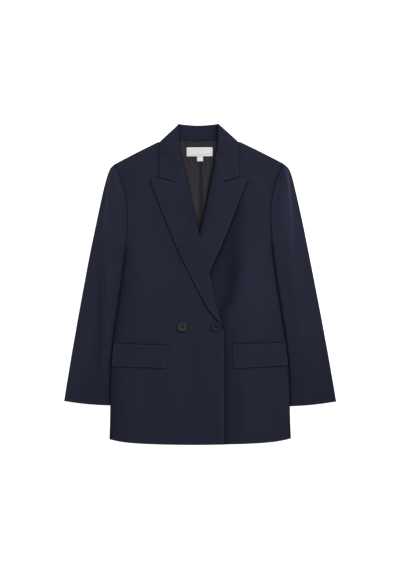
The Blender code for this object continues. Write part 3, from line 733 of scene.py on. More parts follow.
    def collar_shade(self, x: Array, y: Array) -> Array:
        """Painted shade beside the collar, over the lapel's peak and in the notch.

        Args:
            x, y: Plan points on the own half.

        Returns:
            The darkness, 0 to 1.
        """
        collar = Shade(0.14, 1.8, 0.03, 5.0).at(x - 100.6) * ramp(y, 262.0, 267.0)
        peak = near(y - 262.6, 0.30, 1.7) * ramp(x, 97.0, 101.0) * fade(x, 117.0, 122.0)
        notch = 0.36 * np.exp(-(((y - self.notch_y(x)) / 1.4) ** 2)) * ramp(x, 60.0, 66.0)
        return np.minimum(collar + peak * ramp(y, 260.0, 262.6) + notch * fade(x, 100.0, 104.0), 0.8)

    def overlap_shade(self, x: Array, y: Array) -> Array:
        """Painted shade on the underlap beside the overlapping front.

        Args:
            x, y: Plan points on the own half.

        Returns:
            The darkness, 0 to 1.
        """
        away = x - self.overlap_edge(y)
        turned = ramp(y, -108.0, -62.0)
        over = near(away, 0.06, 2.0) + near(away, 1.0, mix(12.0, 6.0, turned))
        return over * mix(0.64, 0.26, turned) * fade(y, 96.0, 124.0)

    def body_relief(self, x: Array, y: Array, hand: Hand) -> Array:
        """Creases and the long hollow of the fronts and of all that lies on them."""
        return self.creases(x, y, hand) - self.valley_depth * self.hollow(x * hand.value, y, 0.62)

    def creases(self, x: Array, y: Array, hand: Hand) -> Array:
        """Creases of the fronts, none under the sleeves.

        Args:
            x, y: Plan points on the own half.
            hand: The front's side.

        Returns:
            Their height in mm.
        """
        fold = self.sleeve_fold(y, hand)
        clear = 1.0 - ramp(x, fold - 20.0, fold - 3.0) * fade(y, 100.0, 130.0)
        edges = ramp(self.side.at(y) - x, 2.0, 16.0)
        height = relief(BODY_CREASES, x * hand.value, y)
        return np.where(height > 0.0, height * clear, height) * np.minimum(edges + clear, 1.0)

    def front_level(self, x: Array, y: Array, hand: Hand) -> Array:
        """Height of a front, with its creases.

        Args:
            x, y: Plan points on the own half.
            hand: The front's side.

        Returns:
            The height of its middle in mm.
        """
        level = self.front + self.shoulder_loft * self.padding(x, y) + self.lift(x, y)
        level = level + self.body_relief(x, y, hand)
        return level + (self.overlap_rise(x, y) if hand is Hand.RIGHT else -self.dip(x, y))

    def crown(self, x: Array, y: Array) -> Array:
        """Soft rise of the lapel and the collar beside the roll line.

        Args:
            x, y: Plan points on the own half.

        Returns:
            The rise in mm.
        """
        height = mix(self.roll_rise, self.leg + 0.4, ramp(y, 180.0, 290.0))
        start = mix(14.0, 40.0, ramp(y, 300.0, 370.0))
        return height * fade(x - self.roll.at(y), start, start + 28.0)

    def turned_level(self, x: Array, y: Array, hand: Hand) -> Array:
        """Height of a lapel or the collar, on the front that it is turned over."""
        on_front = self.front_level(x, y, hand) + self.front_half(x, y)
        return on_front + self.ease + self.half + self.crown(x, y)

    def lining_level(self, x: Array, y: Array) -> Array:
        """Height of the back lining; its creases fade under the lapels and the label.

        Args:
            x, y: Plan points of the garment.

        Returns:
            The height of its middle in mm.
        """
        pleat = 0.4 * ramp(x, -2.0, 8.0)
        open_half = np.maximum(self.roll.at(y), 4.0)
        shown = fade(np.abs(x), open_half - 5.0, open_half + 6.0)
        under_label = 1.0 - ramp(y, 290.0, 300.0) * fade(y, 337.0, 341.0)
        creases = relief(LINING_CREASES, x, y) * shown * under_label
        return self.back_level(x, y) + self.half + self.lining_air + pleat + np.maximum(creases, -0.45)


# ---- cloth shells
@dataclass(frozen=True)
class Side:
    """One side of a piece: width of its rounded rim in mm, and whether it is sewn."""

    width: float
    sewn: bool = False


FREE = Side(0.75)
SEWN = Side(0.3, sewn=True)
HIDDEN = Side(0.3)  # a side that no painted edge shade or highlight is drawn along, found by identity
WOVEN = Side(0.3)


@dataclass(frozen=True)
class Rim:
    """The four sides of a grid of cloth."""

    first_row: Side = FREE
    last_row: Side = FREE
    first_column: Side = FREE
    last_column: Side = FREE


RIM_SHARES = np.array([0.05, 0.25, 0.6, 1.0])


def round_side(points: Array, width: float) -> Array:
    """Puts lines of points close to a grid's first line, for its rounded rim.

    Line k lies RIM_SHARES[k] * width from the first line, towards the second, or that
    share of 0.8 of the way there where the second line is nearer.

    Args:
        points: (lines, points, values), x, y and z first among the values.
        width: The rim's width.

    Returns:
        The grid with its new lines.
    """
    step = points[1] - points[0]
    length = np.linalg.norm(step[:, :3], axis=1)
    reach = np.minimum(width, 0.8 * length) / np.maximum(length, 1e-9)
    lines = points[0] + step * (RIM_SHARES[:, None, None] * reach[:, None])
    return np.concatenate([points[:1], lines, points[1:]])


def rim_height(lines: int) -> Array:
    """Share of the half thickness at each line: a quarter ellipse at both ends."""
    rise = np.sqrt(1.0 - (1.0 - np.concatenate([[0.0], RIM_SHARES])) ** 2)
    return np.concatenate([rise, np.ones(lines - 2 * len(rise)), rise[::-1]])


def run_length(points: Array, axes: Sequence[int]) -> Array:
    """Length along a grid's lines, in the plane of two axes, from the first line."""
    steps = np.linalg.norm(np.diff(points[..., axes], axis=0), axis=-1)
    return np.concatenate([np.zeros_like(steps[:1]), np.cumsum(steps, axis=0)])


@dataclass
class Shell:
    """A closed shell of cloth round a grid of middle points.

    Attributes:
        points: (rows, columns, 5), x, y, z and half the thickness in mm, and painted shade as a tone.
        rim: How each side is rounded.
        turn: Angle of the cloth's grain, in radians.
        open_from: The first and last rows show a free edge only where x is beyond it.
    """

    points: Array
    rim: Rim = field(default_factory=Rim)
    turn: float = 0.0
    open_from: float = 0.0

    def rounded(self) -> Array:
        """The grid with the lines of its rounded rim.

        Returns:
            The grid, with four new lines close to each of its sides.
        """
        rim = self.rim
        grid = round_side(self.points, rim.first_row.width)
        grid = round_side(grid[::-1], rim.last_row.width)[::-1].transpose(1, 0, 2)
        grid = round_side(grid, rim.first_column.width)
        return round_side(grid[::-1], rim.last_column.width)[::-1].transpose(1, 0, 2)

    def cloth_map(self, grid: Array) -> Array:
        """Each point's place on the flat cloth, in metres.

        u is the first column's x plus the length run in the XZ plane along the row, and
        v is the first row's y plus or minus the length run in the YZ plane; both are
        then turned to the grain.

        Args:
            grid: The finished grid of points.

        Returns:
            (rows, columns, 2) of the map.
        """
        across = run_length(grid.transpose(1, 0, 2), (0, 2)).T
        along = run_length(grid, (1, 2)) * np.sign(grid[-1, 0, 1] - grid[0, 0, 1] + 1e-9)
        u = grid[:, :1, 0] + across * np.sign(grid[0, -1, 0] - grid[0, 0, 0] + 1e-9)
        v = grid[:1, :, 1] + along
        turned = layered(u * np.cos(self.turn) - v * np.sin(self.turn),
                         u * np.sin(self.turn) + v * np.cos(self.turn))
        return turned * MM

    def side_distance(self, grid: Array, sewn: bool) -> Array:
        """Distance along the grid's lines to the nearest sewn or free side, in mm.

        Args:
            grid: The finished grid of points.
            sewn: Whether sewn edges are meant, or free ones.

        Returns:
            The distance in mm, FAR where no such edge is near.
        """
        down = run_length(grid, (0, 1, 2))
        closed = FAR * (np.abs(grid[..., 0]) < self.open_from)
        over = run_length(grid.transpose(1, 0, 2), (0, 1, 2)).T
        rim = self.rim
        found = [
            distance for distance, side in (
                (down + closed, rim.first_row), (down[-1:] - down + closed, rim.last_row),
                (over, rim.first_column), (over[:, -1:] - over, rim.last_column),
            ) if side.sewn is sewn and side is not HIDDEN
        ]
        return np.minimum.reduce([np.full(down.shape, FAR), *found])

    def mesh(self, name: str) -> Mesh:
        """Makes the shell: the grid moved out by half its thickness on both sides.

        The normal is the cross product of the grid's two directions. Both sides share
        the points of the boundary, where the thickness is 0.

        Args:
            name: The mesh's name.

        Returns:
            The mesh, in metres, with its cloth map and the distances to its sides.
        """
        grid = self.rounded()
        rows, columns = grid.shape[:2]
        middle = grid[..., :3]
        normal = np.cross(np.gradient(middle, axis=1), np.gradient(middle, axis=0))
        normal /= np.maximum(np.linalg.norm(normal, axis=-1, keepdims=True), 1e-12)
        share = np.minimum(rim_height(rows)[:, None], rim_height(columns)[None, :])
        out = normal * (grid[..., 3] * share)[..., None]
        upper = np.arange(rows * columns).reshape(rows, columns)
        lower = upper.copy()
        lower[1:-1, 1:-1] = rows * columns + np.arange((rows - 2) * (columns - 2)).reshape(rows - 2, -1)

        def both(values: Array) -> Array:
            """Values of the upper points, then of the lower ones inside the rim."""
            flat = values.reshape(rows * columns, -1)
            return np.concatenate([flat, values[1:-1, 1:-1].reshape((rows - 2) * (columns - 2), -1)])

        places = np.concatenate([
            (middle + out).reshape(-1, 3),
            (middle - out)[1:-1, 1:-1].reshape(-1, 3),
        ])
        # the third attribute is painted shade and highlight, which the cloth's colour is multiplied by
        distances = {FREE_EDGE: both(self.side_distance(grid, False))[:, 0],
                     SEWN_EDGE: both(self.side_distance(grid, True))[:, 0],
                     PAINTED_TONE: both(grid[..., 4:])[:, 0]}
        return fill_mesh(name, places * MM, np.concatenate([quads(upper), quads(lower)[:, ::-1]]),
                         both(self.cloth_map(grid)), distances)


def quads(number: Array) -> Array:
    """The four-sided faces of a grid of point numbers, (faces, 4)."""
    corners = (number[:-1, :-1], number[:-1, 1:], number[1:, 1:], number[1:, :-1])
    return np.stack(corners, axis=-1).reshape(-1, 4)


def fill_mesh(name: str, places: Array, faces: Array, cloth_map: Array | None = None,
              distances: dict[str, Array] | None = None) -> Mesh:
    """Fills a mesh from whole arrays.

    Args:
        name: The mesh's name.
        places: (points, 3) in metres.
        faces: (faces, corners) point numbers.
        cloth_map: (points, 2) place on the flat cloth.
        distances: Attributes by name, (points,): distances to the sides in mm, and painted shade as a tone.

    Returns:
        The smooth mesh.
    """
    mesh = bpy.data.meshes.new(name)
    count, corners = faces.shape
    mesh.vertices.add(len(places))
    mesh.vertices.foreach_set("co", places.astype(np.float32).ravel())
    mesh.loops.add(count * corners)
    mesh.loops.foreach_set("vertex_index", faces.astype(np.int32).ravel())
    mesh.polygons.add(count)
    mesh.polygons.foreach_set("loop_start", np.arange(0, count * corners, corners, dtype=np.int32))
    mesh.polygons.foreach_set("loop_total", np.full(count, corners, np.int32))
    mesh.update(calc_edges=True)
    mesh.shade_smooth()
    if cloth_map is not None:
        layer = mesh.uv_layers.new(name=CLOTH_MAP)
        layer.uv.foreach_set("vector", cloth_map[faces.ravel()].astype(np.float32).ravel())
    for key, values in (distances or {}).items():
        attribute = mesh.attributes.new(key, "FLOAT", "POINT")
        attribute.data.foreach_set("value", values.astype(np.float32))
    mesh.validate()
    return mesh


# ---- finishes
@dataclass(frozen=True)
class Wiring:
    """A node tree and the ways in which its nodes are added and linked."""

    tree: Tree

    def feed(self, node: Node, **inputs: Any) -> None:
        """Sets or links a node's inputs.

        Args:
            node: The node.
            inputs: Sockets by name, with _ for a space, or by number after an i: a value,
                or an output to link.
        """
        for key, value in inputs.items():
            numbered = key[0] == "i" and key[1:].isdigit()
            socket = node.inputs[int(key[1:]) if numbered else key.replace("_", " ")]
            if isinstance(value, Socket):
                self.tree.links.new(value, socket)
            else:
                socket.default_value = value

    def node(self, kind: str, settings: dict[str, Any] | None = None, **inputs: Any) -> Node:
        """Adds a node.

        Args:
            kind: The node's type, after ShaderNode.
            settings: Values of its own properties.
            inputs: Its inputs, as feed takes them.

        Returns:
            The node.
        """
        node = self.tree.nodes.new("ShaderNode" + kind)
        for key, value in (settings or {}).items():
            setattr(node, key, value)
        self.feed(node, **inputs)
        return node

    def group(self, tree: Tree, **inputs: Any) -> Node:
        """A node group placed in the tree, with its inputs."""
        return self.node("Group", {"node_tree": tree}, **inputs)

    def math(self, operation: str, *values: Any) -> Socket:
        """A Math node's output for the given operation and values."""
        inputs = {f"i{index}": value for index, value in enumerate(values)}
        return self.node("Math", {"operation": operation}, **inputs).outputs[0]

    def attribute(self, name: str) -> Socket:
        """A mesh attribute's value."""
        return self.node("Attribute", {"attribute_name": name}).outputs["Fac"]

    def blend(self, share: Any, low: Any, high: Any) -> Socket:
        """A colour between low and high, each a colour or an output, by share."""
        low, high = (end if isinstance(end, Socket) else (*end, 1.0) for end in (low, high))
        return self.node("Mix", {"data_type": "RGBA"}, i0=share, i6=low, i7=high).outputs[2]

    def step(self, value: Any, start: float, end: float, low: float, high: float) -> Socket:
        """A smooth change from low at start to high at end, held beyond both."""
        return self.node("MapRange", {"interpolation_type": "SMOOTHSTEP"}, Value=value, From_Min=start,
                         From_Max=end, To_Min=low, To_Max=high).outputs[0]

    def bump(self, height: Socket, strength: float, depth: float) -> Socket:
        """The normal over a height whose whole range is depth, in mm."""
        return self.node("Bump", Height=height, Strength=strength, Distance=depth * MM).outputs["Normal"]


def new_group(name: str, inputs: dict[str, Any], outputs: Sequence[str]) -> tuple[Wiring, Node, Node]:
    """Makes an empty node group with named sockets.

    Args:
        name: The group's name.
        inputs: Name to value, a number or a vector.
        outputs: Names of the numbers that it puts out.

    Returns:
        Its wiring, its input node and its output node.
    """
    tree = bpy.data.node_groups.new(name, "ShaderNodeTree")
    for key, value in inputs.items():
        kind = "NodeSocketFloat" if isinstance(value, float) else "NodeSocketVector"
        tree.interface.new_socket(key, in_out="INPUT", socket_type=kind).default_value = value
    for key in outputs:
        tree.interface.new_socket(key, in_out="OUTPUT", socket_type="NodeSocketFloat")
    return Wiring(tree), tree.nodes.new("NodeGroupInput"), tree.nodes.new("NodeGroupOutput")


@cache
def twill_group() -> Tree:
    """Twill: slanting ribs of threads that pass over each other.

    The rib is a sine across the slant, u + 0.8 v; the threads are a finer sine along u
    and one along v. Noise varies the thread.

    Returns:
        The group, made once.
    """
    inputs = {"Cloth": (0.0, 0.0, 0.0), "Ribs per metre": 1000.0, "Slub": 0.3}
    wiring, given, result = new_group("twill_weave", inputs, ("Height", "Thread"))
    math = wiring.math
    parts = wiring.node("SeparateXYZ", Vector=given.outputs["Cloth"])
    across, along = parts.outputs["X"], parts.outputs["Y"]
    turns = math("MULTIPLY", given.outputs["Ribs per metre"], 2 * np.pi)
    slant = math("ADD", across, math("MULTIPLY", along, 0.8))
    rib = math("SINE", math("MULTIPLY", slant, turns))
    weft = math("SINE", math("MULTIPLY", along, math("MULTIPLY", turns, 2.2)))
    warp = math("SINE", math("MULTIPLY", across, math("MULTIPLY", turns, 2.0)))
    slub = wiring.node("TexNoise", {"noise_dimensions": "3D"}, Vector=given.outputs["Cloth"],
                       Scale=900.0, Detail=2.0, Roughness=0.6)
    threads = math("MULTIPLY", math("ADD", weft, warp), 0.22)
    height = math("ADD", math("MULTIPLY_ADD", rib, 0.32, 0.5), threads)
    uneven = math("MULTIPLY", math("SUBTRACT", slub.outputs["Fac"], 0.5), given.outputs["Slub"])
    total = math("ADD", height, uneven)
    wiring.feed(result, Height=total, Thread=math("MULTIPLY_ADD", total, 0.8, 0.1))
    return wiring.tree


@cache
def drift_group() -> Tree:
    """Uneven tone of a large piece: 0.6 of broad noise and 0.4 of fibre-sized noise.

    Returns:
        The group, made once.
    """
    inputs = {"Cloth": (0.0, 0.0, 0.0), "Broad": 9.0, "Fine": 420.0}
    wiring, given, result = new_group("tone_drift", inputs, ("Tone",))
    noises = [
        wiring.node("TexNoise", Vector=given.outputs["Cloth"], Scale=given.outputs[scale], Detail=detail)
        for scale, detail in (("Broad", 3.0), ("Fine", 2.0))
    ]
    broad, fine = (wiring.math("MULTIPLY", noise.outputs["Fac"], share)
                   for noise, share in zip(noises, (0.6, 0.4)))
    wiring.feed(result, Tone=wiring.math("ADD", broad, fine))
    return wiring.tree


@cache
def painted_edge_group() -> Tree:
    """Painted shade and highlight along edges: painted shade in the very turn of a free
    edge, then a painted highlight line, then plain.

    The tone is the product of a smooth rise over the first millimetre from a free edge,
    a hump over the next few, and a shallower rise beside a seam, which paints shade
    along the seam.

    Returns:
        The group, made once.
    """
    wiring, given, result = new_group("painted_edge_shade_and_highlight", {"Free": FAR, "Sewn": FAR}, ("Tone",))
    free, sewn = given.outputs["Free"], given.outputs["Sewn"]
    # painted shade in an edge's turn, a painted highlight line beside it, and painted shade along seams
    turn = wiring.step(free, 0.3, 1.7, 0.36, 1.0)
    rise, fall = wiring.step(free, 1.4, 2.6, 0.0, 1.0), wiring.step(free, 3.2, 8.0, 1.0, 0.0)
    hump = wiring.math("MULTIPLY", rise, fall)
    line = wiring.math("MULTIPLY_ADD", hump, 0.17, 1.0)
    seam = wiring.step(sewn, 0.1, 1.3, 0.55, 1.0)
    wiring.feed(result, Tone=wiring.math("MULTIPLY", wiring.math("MULTIPLY", turn, line), seam))
    return wiring.tree


def new_material(name: str) -> tuple[Material, Wiring, Node]:
    """Makes a material.

    Args:
        name: Its name.

    Returns:
        The material, its wiring and its Principled shader.
    """
    material = bpy.data.materials.new(name)
    material.use_nodes = True
    return material, Wiring(material.node_tree), material.node_tree.nodes["Principled BSDF"]


@dataclass(frozen=True)
class TwillFinish:
    """Woven cloth: two tones over the twill, its bump, smoother pressed edges, and painted shade and
    highlight.

    The tone is the mean of the weave's thread value and the piece's broad drift. Within
    press_width of an edge the cloth is a little smoother, as an iron leaves it.
    """

    name: str
    low: Color
    high: Color
    ribs: float
    slub: float
    depth: float
    roughness: float
    sheen: float
    sheen_tint: Color = (1.0, 1.0, 1.0)
    sheen_roughness: float = 0.55
    specular: float = 0.12
    relief: float = 0.6
    press_width: float = 5.0
    press_gloss: float = 0.06

    def material(self) -> Material:
        """Builds the finish.

        Returns:
            The material.
        """
        material, wiring, shader = new_material(self.name)
        place = wiring.node("UVMap", {"uv_map": CLOTH_MAP}).outputs["UV"]
        weave = wiring.group(twill_group(), Cloth=place, Ribs_per_metre=self.ribs, Slub=self.slub)
        drift = wiring.group(drift_group(), Cloth=place)
        tone = wiring.math("ADD", wiring.math("MULTIPLY", weave.outputs["Thread"], 0.5),
                           wiring.math("MULTIPLY", drift.outputs["Tone"], 0.5))
        free = wiring.attribute(FREE_EDGE)
        edges = wiring.group(painted_edge_group(), Free=free, Sewn=wiring.attribute(SEWN_EDGE))
        # painted shade and highlight: the painted edge tone times the mesh's painted tone
        shade = wiring.math("MULTIPLY", edges.outputs["Tone"], wiring.attribute(PAINTED_TONE))
        cloth = wiring.blend(tone, self.low, self.high)
        pressed = self.roughness - self.press_gloss
        wiring.feed(
            shader,
            Base_Color=wiring.node("VectorMath", {"operation": "SCALE"}, i0=cloth, Scale=shade).outputs[0],
            Roughness=wiring.step(free, 0.0, self.press_width, pressed, self.roughness),
            Normal=wiring.bump(weave.outputs["Height"], self.relief, self.depth),
            Specular_IOR_Level=self.specular, Sheen_Weight=self.sheen,
            Sheen_Roughness=self.sheen_roughness, Sheen_Tint=(*self.sheen_tint, 1.0),
        )
        return material


@dataclass(frozen=True)
class LabelFinish:
    """White woven satin; a bordered one has a fine line set in from its edges."""

    name: str
    half_width: float
    half_height: float
    border_inset: float = 0.0
    base: Color = (0.87, 0.87, 0.865)
    line: Color = (0.46, 0.46, 0.47)
    line_width: float = 0.55
    thread_shade: float = 0.93
    ribs: float = 2400.0

    def border_mask(self, wiring: Wiring, place: Socket) -> Socket:
        """1 on the line: where the distance to the nearest edge is within it.

        Args:
            wiring: The material's wiring.
            place: The place on the label from its middle, in metres.

        Returns:
            The mask.
        """
        parts = wiring.node("SeparateXYZ", Vector=place)
        across, along = (
            wiring.math("SUBTRACT", half * MM, wiring.math("ABSOLUTE", parts.outputs[axis]))
            for half, axis in ((self.half_width, "X"), (self.half_height, "Y"))
        )
        inset = wiring.math("MINIMUM", across, along)
        off_line = wiring.math("ABSOLUTE", wiring.math("SUBTRACT", inset, self.border_inset * MM))
        return wiring.math("LESS_THAN", off_line, self.line_width * MM / 2)

    def material(self) -> Material:
        """Builds the finish.

        Returns:
            The material.
        """
        material, wiring, shader = new_material(self.name)
        place = wiring.node("UVMap", {"uv_map": CLOTH_MAP}).outputs["UV"]
        weave = wiring.group(twill_group(), Cloth=place, Ribs_per_metre=self.ribs, Slub=0.2)
        low = tuple(self.thread_shade * channel for channel in self.base)
        paper = wiring.blend(weave.outputs["Thread"], low, self.base)
        if self.border_inset > 0.0:
            paper = wiring.blend(self.border_mask(wiring, place), paper, self.line)
        wiring.feed(shader, Base_Color=paper, Normal=wiring.bump(weave.outputs["Height"], 0.4, 0.03),
                    Roughness=0.5, Sheen_Weight=0.1)
        return material


@dataclass(frozen=True)
class ButtonFinish:
    """Dark horn-like plastic: soft streaks between two tones under a thin polish."""

    name: str = "button_plastic"
    low: Color = (0.0086, 0.0088, 0.0104)
    high: Color = (0.0255, 0.0252, 0.0274)
    polish: float = 0.34
    smooth: float = 0.40
    worn: float = 0.56
    stretch: Color = (1.0, 4.0, 1.0)

    def material(self) -> Material:
        """Builds the finish.

        Returns:
            The material.
        """
        material, wiring, shader = new_material(self.name)
        place = wiring.node("TexCoord").outputs["Object"]
        stretched = wiring.node("Mapping", Vector=place, Scale=self.stretch).outputs["Vector"]
        streaks = wiring.node("TexNoise", Vector=stretched, Scale=90.0, Detail=4.0,
                              Distortion=0.8).outputs["Fac"]
        scratches = wiring.node("TexNoise", Vector=place, Scale=2600.0, Detail=2.0).outputs["Fac"]
        rough = wiring.node("MapRange", Value=streaks, To_Min=self.smooth, To_Max=self.worn).outputs[0]
        wiring.feed(shader, Base_Color=wiring.blend(streaks, self.low, self.high), Roughness=rough,
                    Normal=wiring.bump(scratches, 0.25, 0.01), Specular_IOR_Level=self.polish)
        return material


@dataclass(frozen=True)
class ThreadFinish:
    """Twisted sewing thread: fine slanting plies across the strand."""

    name: str
    color: Color
    ply_shade: float = 0.7

    def material(self) -> Material:
        """Builds the finish.

        Returns:
            The material.
        """
        material, wiring, shader = new_material(self.name)
        place = wiring.node("TexCoord").outputs["Object"]
        plies = wiring.node("TexWave", {"bands_direction": "DIAGONAL"}, Vector=place, Scale=900.0,
                            Distortion=1.0).outputs["Fac"]
        low = tuple(self.ply_shade * channel for channel in self.color)
        wiring.feed(shader, Base_Color=wiring.blend(plies, low, self.color),
                    Normal=wiring.bump(plies, 0.5, 0.03), Roughness=0.7, Specular_IOR_Level=0.2)
        return material


@dataclass(frozen=True)
class Wardrobe:
    """The finishes of the whole garment, each made once."""

    suiting: Material
    lining: Material
    label: Material
    tab: Material
    button: Material
    # the darker copy of the button finish, painted shade
    painted_shade_button: Material
    thread: Material
    white_thread: Material

    @staticmethod
    def make() -> "Wardrobe":
        """Makes every finish.

        Returns:
            The wardrobe.
        """
        suiting = TwillFinish(
            "navy_suiting", low=(0.0150, 0.0166, 0.0318), high=(0.0238, 0.0260, 0.0474), ribs=820.0,
            slub=0.35, depth=0.07, roughness=0.88, sheen=0.03, sheen_tint=(0.55, 0.62, 1.0),
        )
        lining = TwillFinish(
            "charcoal_lining", low=(0.0183, 0.0167, 0.0216), high=(0.0287, 0.0261, 0.0338), ribs=1500.0,
            slub=0.15, depth=0.03, roughness=0.5, sheen=0.0,
        )
        # a darker, bluer copy of the button finish with less polish: painted shade for the button that lies
        # in shade
        in_shade = ButtonFinish("button_plastic_painted_shade", low=(0.0057, 0.0064, 0.0094),
                            high=(0.0174, 0.0192, 0.0280), polish=0.18)
        finishes = (
            suiting, lining, LabelFinish("label_satin", 31.6, 10.8, border_inset=4.2),
            LabelFinish("tab_satin", 7.2, 5.9), ButtonFinish(), in_shade,
            ThreadFinish("navy_thread", (0.016, 0.017, 0.026)),
            ThreadFinish("white_thread", (0.62, 0.62, 0.61)),
        )
        return Wardrobe(*(finish.material() for finish in finishes))


# ---- placing pieces
@dataclass(frozen=True)
class Cut:
    """What a sheet is cut to: its width and length in mm, and how it is held."""

    width: float
    length: float
    rests_on: tuple[str, ...]
    held: Held = Held.LAID


@dataclass
class Workroom:
    """Puts finished pieces on the frame and keeps count of them."""

    wardrobe: Wardrobe
    count: int = 0

    def place(self, name: str, mesh: Mesh, material: Material, slot: str,
              nodes: Sequence[str] = ()) -> Piece:
        """Places a piece at the origin, dresses it and ties it to the frame.

        Args:
            name: The piece's name.
            mesh: Its mesh, already in its place.
            material: Its finish.
            slot: Not used.
            nodes: CAD nodes that it stands for.

        Returns:
            The object.
        """
        mesh.materials.append(material)
        piece = bpy.data.objects.new(name, mesh)
        bpy.context.scene.collection.objects.link(piece)
        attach(piece, "root")
        if nodes:
            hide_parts(*nodes)
        self.count += 1
        LOG.info("%s: %d faces", name, len(mesh.polygons))
        return piece

    def cloth(self, node: str, shell: Shell, material: Material, slot: str, cut: Cut) -> Piece:
        """Places a piece of cloth that stands for a node; the area that it works out from its cut is not
        used.

        Args:
            node: The CAD node, which also names the piece.
            shell: Its shape.
            material: Its finish.
            slot: Passed on to place.
            cut: What it is cut to.

        Returns:
            The object.
        """
        piece = self.place(node + "_cloth", shell.mesh(node + "_cloth"), material, slot, [node])
        points = shell.points[..., :3]
        across, along = np.diff(points, axis=1)[:-1], np.diff(points, axis=0)[:, :-1]
        area = float(np.linalg.norm(np.cross(across, along), axis=-1).sum())
        rectangle = cut.width * cut.length
        area = float(np.clip(area, 0.3 * rectangle, rectangle)) * MM * MM
        return piece


def mirrored(points: Array, hand: Hand) -> Array:
    """Own-half points on their side of the garment.

    Args:
        points: Points on the own half, with anything after their x.
        hand: The side to go to.

    Returns:
        The points on that side.
    """
    placed = points.copy()
    placed[..., 0] *= hand.value
    return placed


